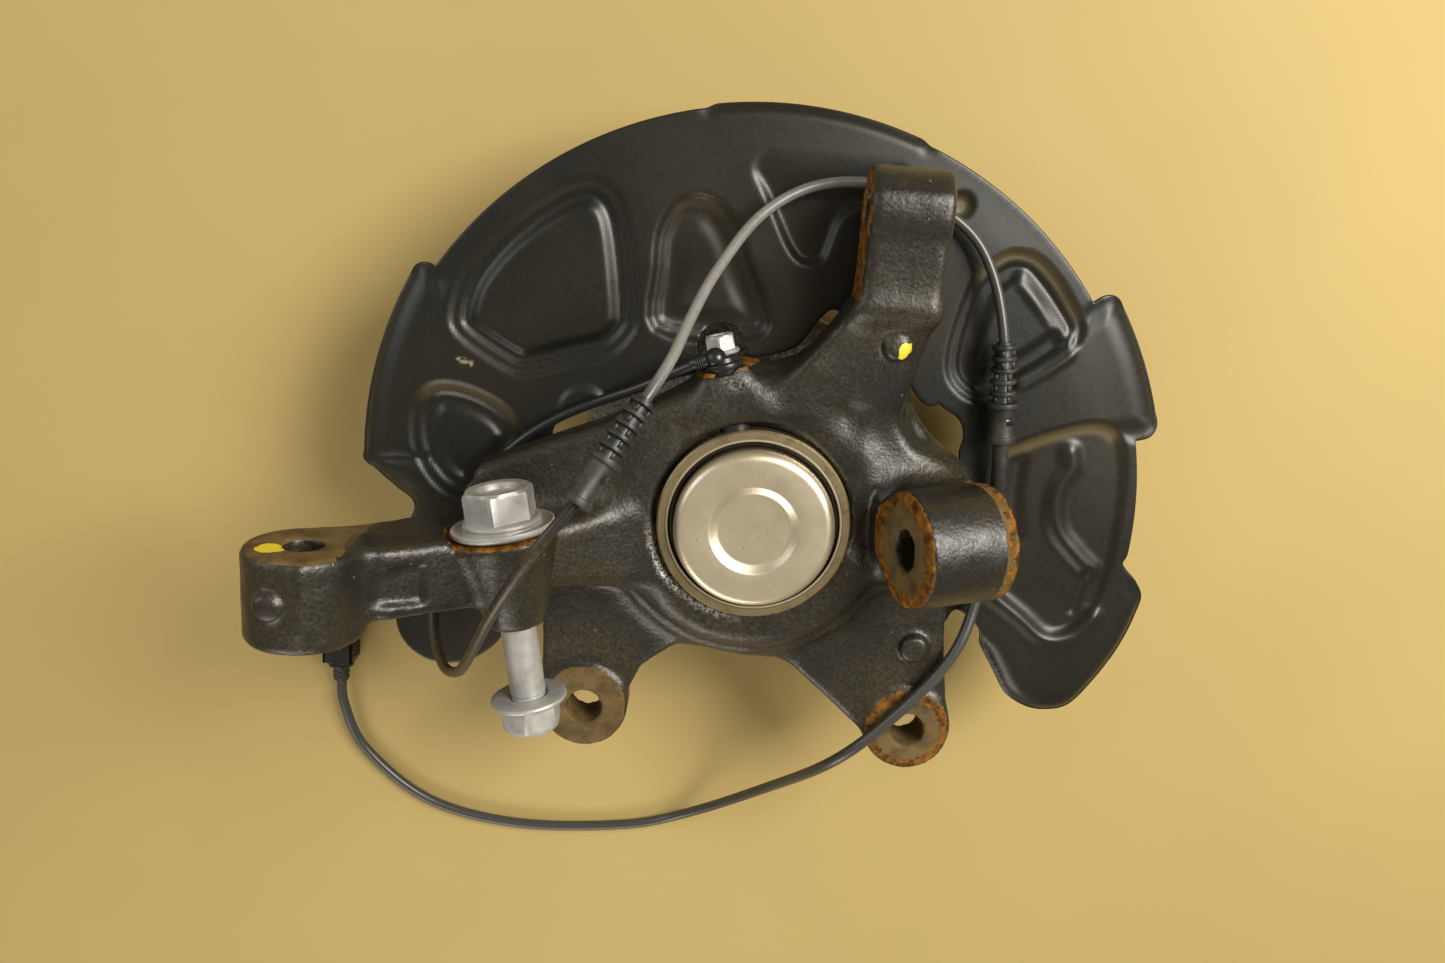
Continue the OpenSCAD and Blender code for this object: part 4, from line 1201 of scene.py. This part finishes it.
def shield_sheet(step):
    """The sheet as points, faces and marks: a grid clipped to the outline, with a rolled edge round it."""
    xs = np.arange(-152, 158, step)
    ys = np.arange(-80, 150, step)
    gx, gy = np.meshgrid(xs, ys, indexing="ij")
    d = shield_outer(gx, gy)
    e = d + ROLL_W
    centre = (e[:-1, :-1] + e[1:, :-1] + e[:-1, 1:] + e[1:, 1:]) / 4
    i, j = np.nonzero(centre < 0)
    row = len(ys)
    quads = np.stack([i * row + j, (i + 1) * row + j, (i + 1) * row + j + 1, i * row + j + 1], 1)
    edges = np.concatenate([quads[:, [a, (a + 1) % 4]] for a in range(4)])
    keys = np.sort(edges, 1)
    ids = keys[:, 0].astype(np.int64) * (gx.size + 1) + keys[:, 1]
    _, first, counts = np.unique(ids, return_index=True, return_counts=True)
    border = edges[first[counts == 1]]
    used, inverse = np.unique(quads, return_inverse=True)
    quads = inverse.reshape(-1, 4)
    place = {int(v): k for k, v in enumerate(used)}
    border = np.array([[place[int(a)], place[int(b)]] for a, b in border])
    px, py = gx.ravel()[used].copy(), gy.ravel()[used].copy()
    rim = np.unique(border)

    def gradient(x, y, f):
        eps = 0.4
        a, b = f(x + eps, y) - f(x - eps, y), f(x, y + eps) - f(x, y - eps)
        n = np.maximum(np.hypot(a, b), 1e-6)
        return a / n, b / n, n / (2 * eps)

    def bent(x, y):
        return shield_outer(x, y) + ROLL_W

    def settle():
        """Moves the rim's points onto the outline, inside it by the width of the roll."""
        a, b, slope = gradient(px[rim], py[rim], bent)
        off = np.clip(bent(px[rim], py[rim]) / np.maximum(slope, 0.5), -step, step)
        px[rim] -= a * off
        py[rim] -= b * off

    for _ in range(3):
        settle()
    # Evens out the rim so that its points don't bunch
    neighbours = {int(v): [] for v in rim}
    for a, b in border:
        neighbours[int(a)].append(int(b))
        neighbours[int(b)].append(int(a))
    for _ in range(6):
        nx = {v: np.mean([px[n] for n in ns]) for v, ns in neighbours.items()}
        ny = {v: np.mean([py[n] for n in ns]) for v, ns in neighbours.items()}
        for v in neighbours:
            px[v], py[v] = 0.5 * px[v] + 0.5 * nx[v], 0.5 * py[v] + 0.5 * ny[v]
        settle()
    h, *marks = shield_height(px, py)
    points = [np.stack([px, py, SHIELD_Z + h], 1)]
    layers = [np.stack(marks)]
    faces = quads.tolist()
    gxn, gyn, _ = gradient(px[rim], py[rim], shield_outer)
    base = points[0][rim]
    order = {int(v): k for k, v in enumerate(rim)}
    last = {int(v): int(v) for v in rim}
    turns = 3
    count = len(px)
    for k in range(1, turns + 1):
        a = 0.5 * math.pi * k / turns
        ring = base.copy()
        ring[:, 0] += gxn * ROLL_W * math.sin(a)
        ring[:, 1] += gyn * ROLL_W * math.sin(a)
        ring[:, 2] -= ROLL_DEPTH * (1 - math.cos(a))
        points.append(ring)
        layers.append(layers[0][:, rim])
        fresh = {v: count + order[v] for v in last}
        for p, q in border:
            faces.append([last[int(q)], last[int(p)], fresh[int(p)], fresh[int(q)]])
        last = fresh
        count += len(rim)
    return np.concatenate(points), faces, np.concatenate(layers, 1)


SHIELD_STEP = 1.0
sheet_points, sheet_faces, sheet_marks = shield_sheet(SHIELD_STEP)
shield = mesh_piece("shield", sheet_points, sheet_faces, MATERIALS["shield_black"])
mark(shield, "dust", sheet_marks[0])
mark(shield, "scratch", sheet_marks[1])
thick = shield.modifiers.new("sheet", "SOLIDIFY")
thick.thickness = SHEET_T * MM
thick.offset = -1
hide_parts("dust_shield")


# ---------------------------------------------------------------- bearing and hub

def sharpen(piece, degrees=32):
    """Splits shading at edges sharper than an angle, so that flats look flat."""
    split = piece.modifiers.new("sharp", "EDGE_SPLIT")
    split.split_angle = math.radians(degrees)


def bearing_cap():
    """Pressed cap: lip in the ring, gutter, straight wall, round shoulder, flat face and a dish."""
    bend = np.linspace(math.pi / 2, 0, 9)
    shoulder = [(25.0 + 3.4 * math.sin(a), 83.6 + 3.4 * math.cos(a)) for a in bend]
    outer = [
        (31.45, 77.7), (31.45, 79.7), (31.2, 79.95), (30.6, 79.95), (30.35, 79.7), (30.3, 77.9), (30.0, 77.5),
        (29.0, 77.4), (28.6, 77.7), (28.4, 78.4), *shoulder, (20, 87.0), (16.3, 87.0), (15.8, 86.9),
        (15.2, 86.55), (13.4, 85.4), (12.8, 85.18), (12.2, 85.15), (6, 85.15), (0, 85.15),
    ]
    wall = 0.6
    inner = [(30.85, 77.7), (30.85, 77.0), (28.0, 77.0)]
    inner += [(r - wall * math.sin(a), z - wall * math.cos(a)) for (r, z), a in zip(shoulder, bend)]
    inner += [(16.0, 87 - wall), (12.5, 85.15 - wall), (0, 85.15 - wall)]
    points, faces = rings([circle(max(r, 0.001), z, 160) for r, z in outer + inner[::-1]], closed_loop=True)
    piece = mesh_piece("cap", points, faces, MATERIALS["cap_steel"])
    sharpen(piece, 40)
    radius, height = np.hypot(points[:, 0], points[:, 1]), points[:, 2]
    # Painted shade: the gutter and the wall below the shoulder are darkened, standing in for the shade in the
    # recess between the cap and the ring
    mark(piece, "painted_shade", (1 - smooth_step(height, 79.5, 86.0)) * (radius < 30.5) * 0.93)
    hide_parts("bearing_cap")


bearing_cap()


# ---------------------------------------------------------------- link bolt, washer and nut

def on_link(points):
    """Points whose Z runs along the link bolt, from its seat on the boss."""
    return turned(points, SEAT, SEAT_TURN)


def link_washer():
    """Dished washer with a raised rim."""
    profile = [(6.3, -3.1), (6.3, -0.1), (13.5, -0.1), (16.2, -0.7), (17.0, -1.6), (17.0, -3.1), (16.3, -3.1),
               (15.4, -2.2), (13.0, -2.0), (13.0, -3.1)]
    points, faces = lathe(profile[::-1], 96, 0.3)
    piece = mesh_piece("washer", on_link(points), faces, MATERIALS["zinc_plate"], "washer_slide")
    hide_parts("link_washer")


def link_bolt():
    """Hexagon bolt with a flange, a recessed and chamfered head, a plain shank and a threaded end."""
    head = [nut_ring(21, -4.6, 12.1), *hexagon_head(21, -5.0, -15.2, 1.0)[1:]]
    n = len(head[0])
    head += [circle(8.2, -15.2, n), circle(7.2, -15.1, n), circle(6.7, -14.6, n), circle(6.3, -13.0, n),
             circle(5.8, -12.6, n), circle(2.0, -12.5, n), circle(0.01, -12.5, n)]
    flange = lathe([(0.5, -5.2), (11.9, -5.2), (12.9, -4.4), (13.0, -3.2), (0.5, -3.2)], 96, 0.3)
    head_shape = rings([circle(0.01, -4.6, n), circle(6, -4.6, n), *head], caps=False)
    shank = [circle(0.01, -4, 48), circle(6.0, -4, 48), circle(6.0, 56.5, 48)]
    z, pitch = 57.0, 1.5
    while z < 67.4:
        shank += [circle(5.95, z, 48), circle(5.2, z + 0.5 * pitch, 48)]
        z += pitch
    shank += [circle(5.6, 67.6, 48), circle(4.6, 69.0, 48), circle(0.01, 69.0, 48)]
    parts = join(head_shape, flange, rings(shank, caps=False))
    piece = mesh_piece("bolt", on_link(parts[0]), parts[1], MATERIALS["zinc_plate"], "bolt_spin")
    sharpen(piece)
    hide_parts("link_bolt")


def link_nut():
    """Flanged hexagon nut with a prevailing-torque collar, chamfered at its open end."""
    z0 = BOSS_L + 26
    hexagon = hexagon_head(18, z0 + 1.2, z0 + 12.0, 1.2)
    n = len(hexagon[0])
    inside = [circle(6.9, z0 + 12.0, n), circle(6.15, z0 + 11.2, n), circle(6.15, z0 + 0.8, n),
              circle(6.9, z0, n)]
    flange = [circle(r, z0 + z, n) for r, z in ((11.8, 0), (12.8, 0.5), (13.0, 1.3), (12.6, 2.1),
                                                (10.8, 2.9), (10.45, 3.2))]
    body = [nut_ring(18, z0 + 3.4, 10.39), *hexagon[1:]]
    shape = rings(flange + body + inside, closed_loop=True)
    piece = mesh_piece("nut", on_link(shape[0]), shape[1], MATERIALS["zinc_plate"], "nut_travel")
    sharpen(piece)
    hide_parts("link_nut")


link_washer()
link_bolt()
link_nut()


# ---------------------------------------------------------------- speed sensor

def on_sensor(points, z=71.0):
    """Points whose Z runs outwards along the sensor's axis, set at height z."""
    return turned(turned(points, (0, 0, z), (-90, 0, 0)), turn=(0, 0, SENSOR_TURN))


def speed_sensor():
    """Sensor: probe with an O-ring groove, flange with a bolt lug, round head and an outlet for the lead."""
    s = SENSOR_SEAT
    body = lathe([
        (0.01, 28.2), (5.2, 28.2), (6.0, 29.0), (6.0, 50.0), (4.8, 50.0), (4.8, 52.0), (6.0, 52.0), (6.0, s),
        (6.9, s), (6.9, s + 1.8), (5.0, s + 1.9), (4.8, s + 3.6), (4.0, s + 4.4), (0.01, s + 4.5),
    ][::-1], 64, 0.3)
    lug = lathe([(4.2, s), (5.6, s), (5.6, s + 3), (4.2, s + 3)], 48, 0.3)
    web_points, web_faces = block_shape((9.6, 10.6, 3), origin=(0, 6.6, s + 1.5), bevel=0.4)
    steps = np.linspace(0, math.pi, 15)
    ball = [circle(max(3.8 * math.sin(a), 0.001), -3.8 * math.cos(a), 32) for a in steps]
    ball_points, ball_faces = rings(ball)
    start = on_sensor([(-2.2, 0, s + 4.0)], 73.0)[0]
    end = np.array(LEAD_ROUTE[0], float)
    reach = float(np.linalg.norm(end - start))
    outlet = lathe([(0.01, 0), (3.0, 0), (2.75, 0.5 * reach), (2.6, reach + 3), (0.01, reach + 3)], 40, 0.3)
    boot = []
    for k in range(4):
        z = 3.6 + 0.9 * k
        boot.append(lathe([(2.2, z), (3.15, z), (3.15, z + 0.5), (2.2, z + 0.5)], 40, 0.15))
    straight = pointing(end - start)
    shapes = [
        (on_sensor(body[0]), body[1]),
        (on_sensor(lug[0], 58), lug[1]),
        (on_sensor(web_points), web_faces),
        (ball_points + start, ball_faces),
    ]
    shapes += [(p @ straight.T + start, f) for p, f in [outlet, *boot]]
    piece = mesh_piece("sensor", *join(*shapes), MATERIALS["black_plastic"])
    sharpen(piece, 40)
    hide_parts("speed_sensor")


def sensor_bolt():
    """Small flanged hexagon bolt."""
    z0 = SENSOR_SEAT + 3
    hexagon = hexagon_head(10, z0 + 1.4, z0 + 6.9, 0.6)
    n = len(hexagon[0])
    flange = [circle(0.01, z0, n), circle(6.3, z0, n), circle(6.5, z0 + 0.5, n), circle(6.2, z0 + 1.1, n),
              circle(5.8, z0 + 1.5, n)]
    body = [nut_ring(10, z0 + 1.6, 5.77), *hexagon[1:], circle(3.2, z0 + 6.9, n), circle(2.9, z0 + 6.4, n),
            circle(0.01, z0 + 6.4, n)]
    shank = rings([circle(0.01, z0 - 17, 32), circle(3, z0 - 16.4, 32), circle(3, z0 + 0.2, 32),
                   circle(0.01, z0 + 0.2, 32)], caps=False)
    shape = join(rings(flange + body, caps=False), shank)
    piece = mesh_piece("sensor_screw", on_sensor(shape[0], 58), shape[1], MATERIALS["zinc_plate"])
    sharpen(piece)
    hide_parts("sensor_bolt")


speed_sensor()
sensor_bolt()


# ---------------------------------------------------------------- finishes of the CAD nodes that stay

KEPT = {
    "bearing_outer_ring": "bearing_steel",
    "retaining_ring": "bearing_steel",
    "inner_ring": "bearing_steel",
    "outboard_seal": "black_rubber",
    "tone_ring": "black_rubber",
    "sensor_oring": "black_rubber",
    "sensor_bush": "bearing_steel",
    "shield_screws": "zinc_plate",
    "plug_terminals": "terminal_brass",
    "hub_flange": "hub_zinc",
    "balls_outboard": "ball_chrome",
    "balls_inboard": "ball_chrome",
    "cage_outboard": "cage_plastic",
    "cage_inboard": "cage_plastic",
}
for node_name, slot_name in KEPT.items():
    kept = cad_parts[node_name]
    kept.data.materials.clear()
    kept.data.materials.append(MATERIALS[slot_name])
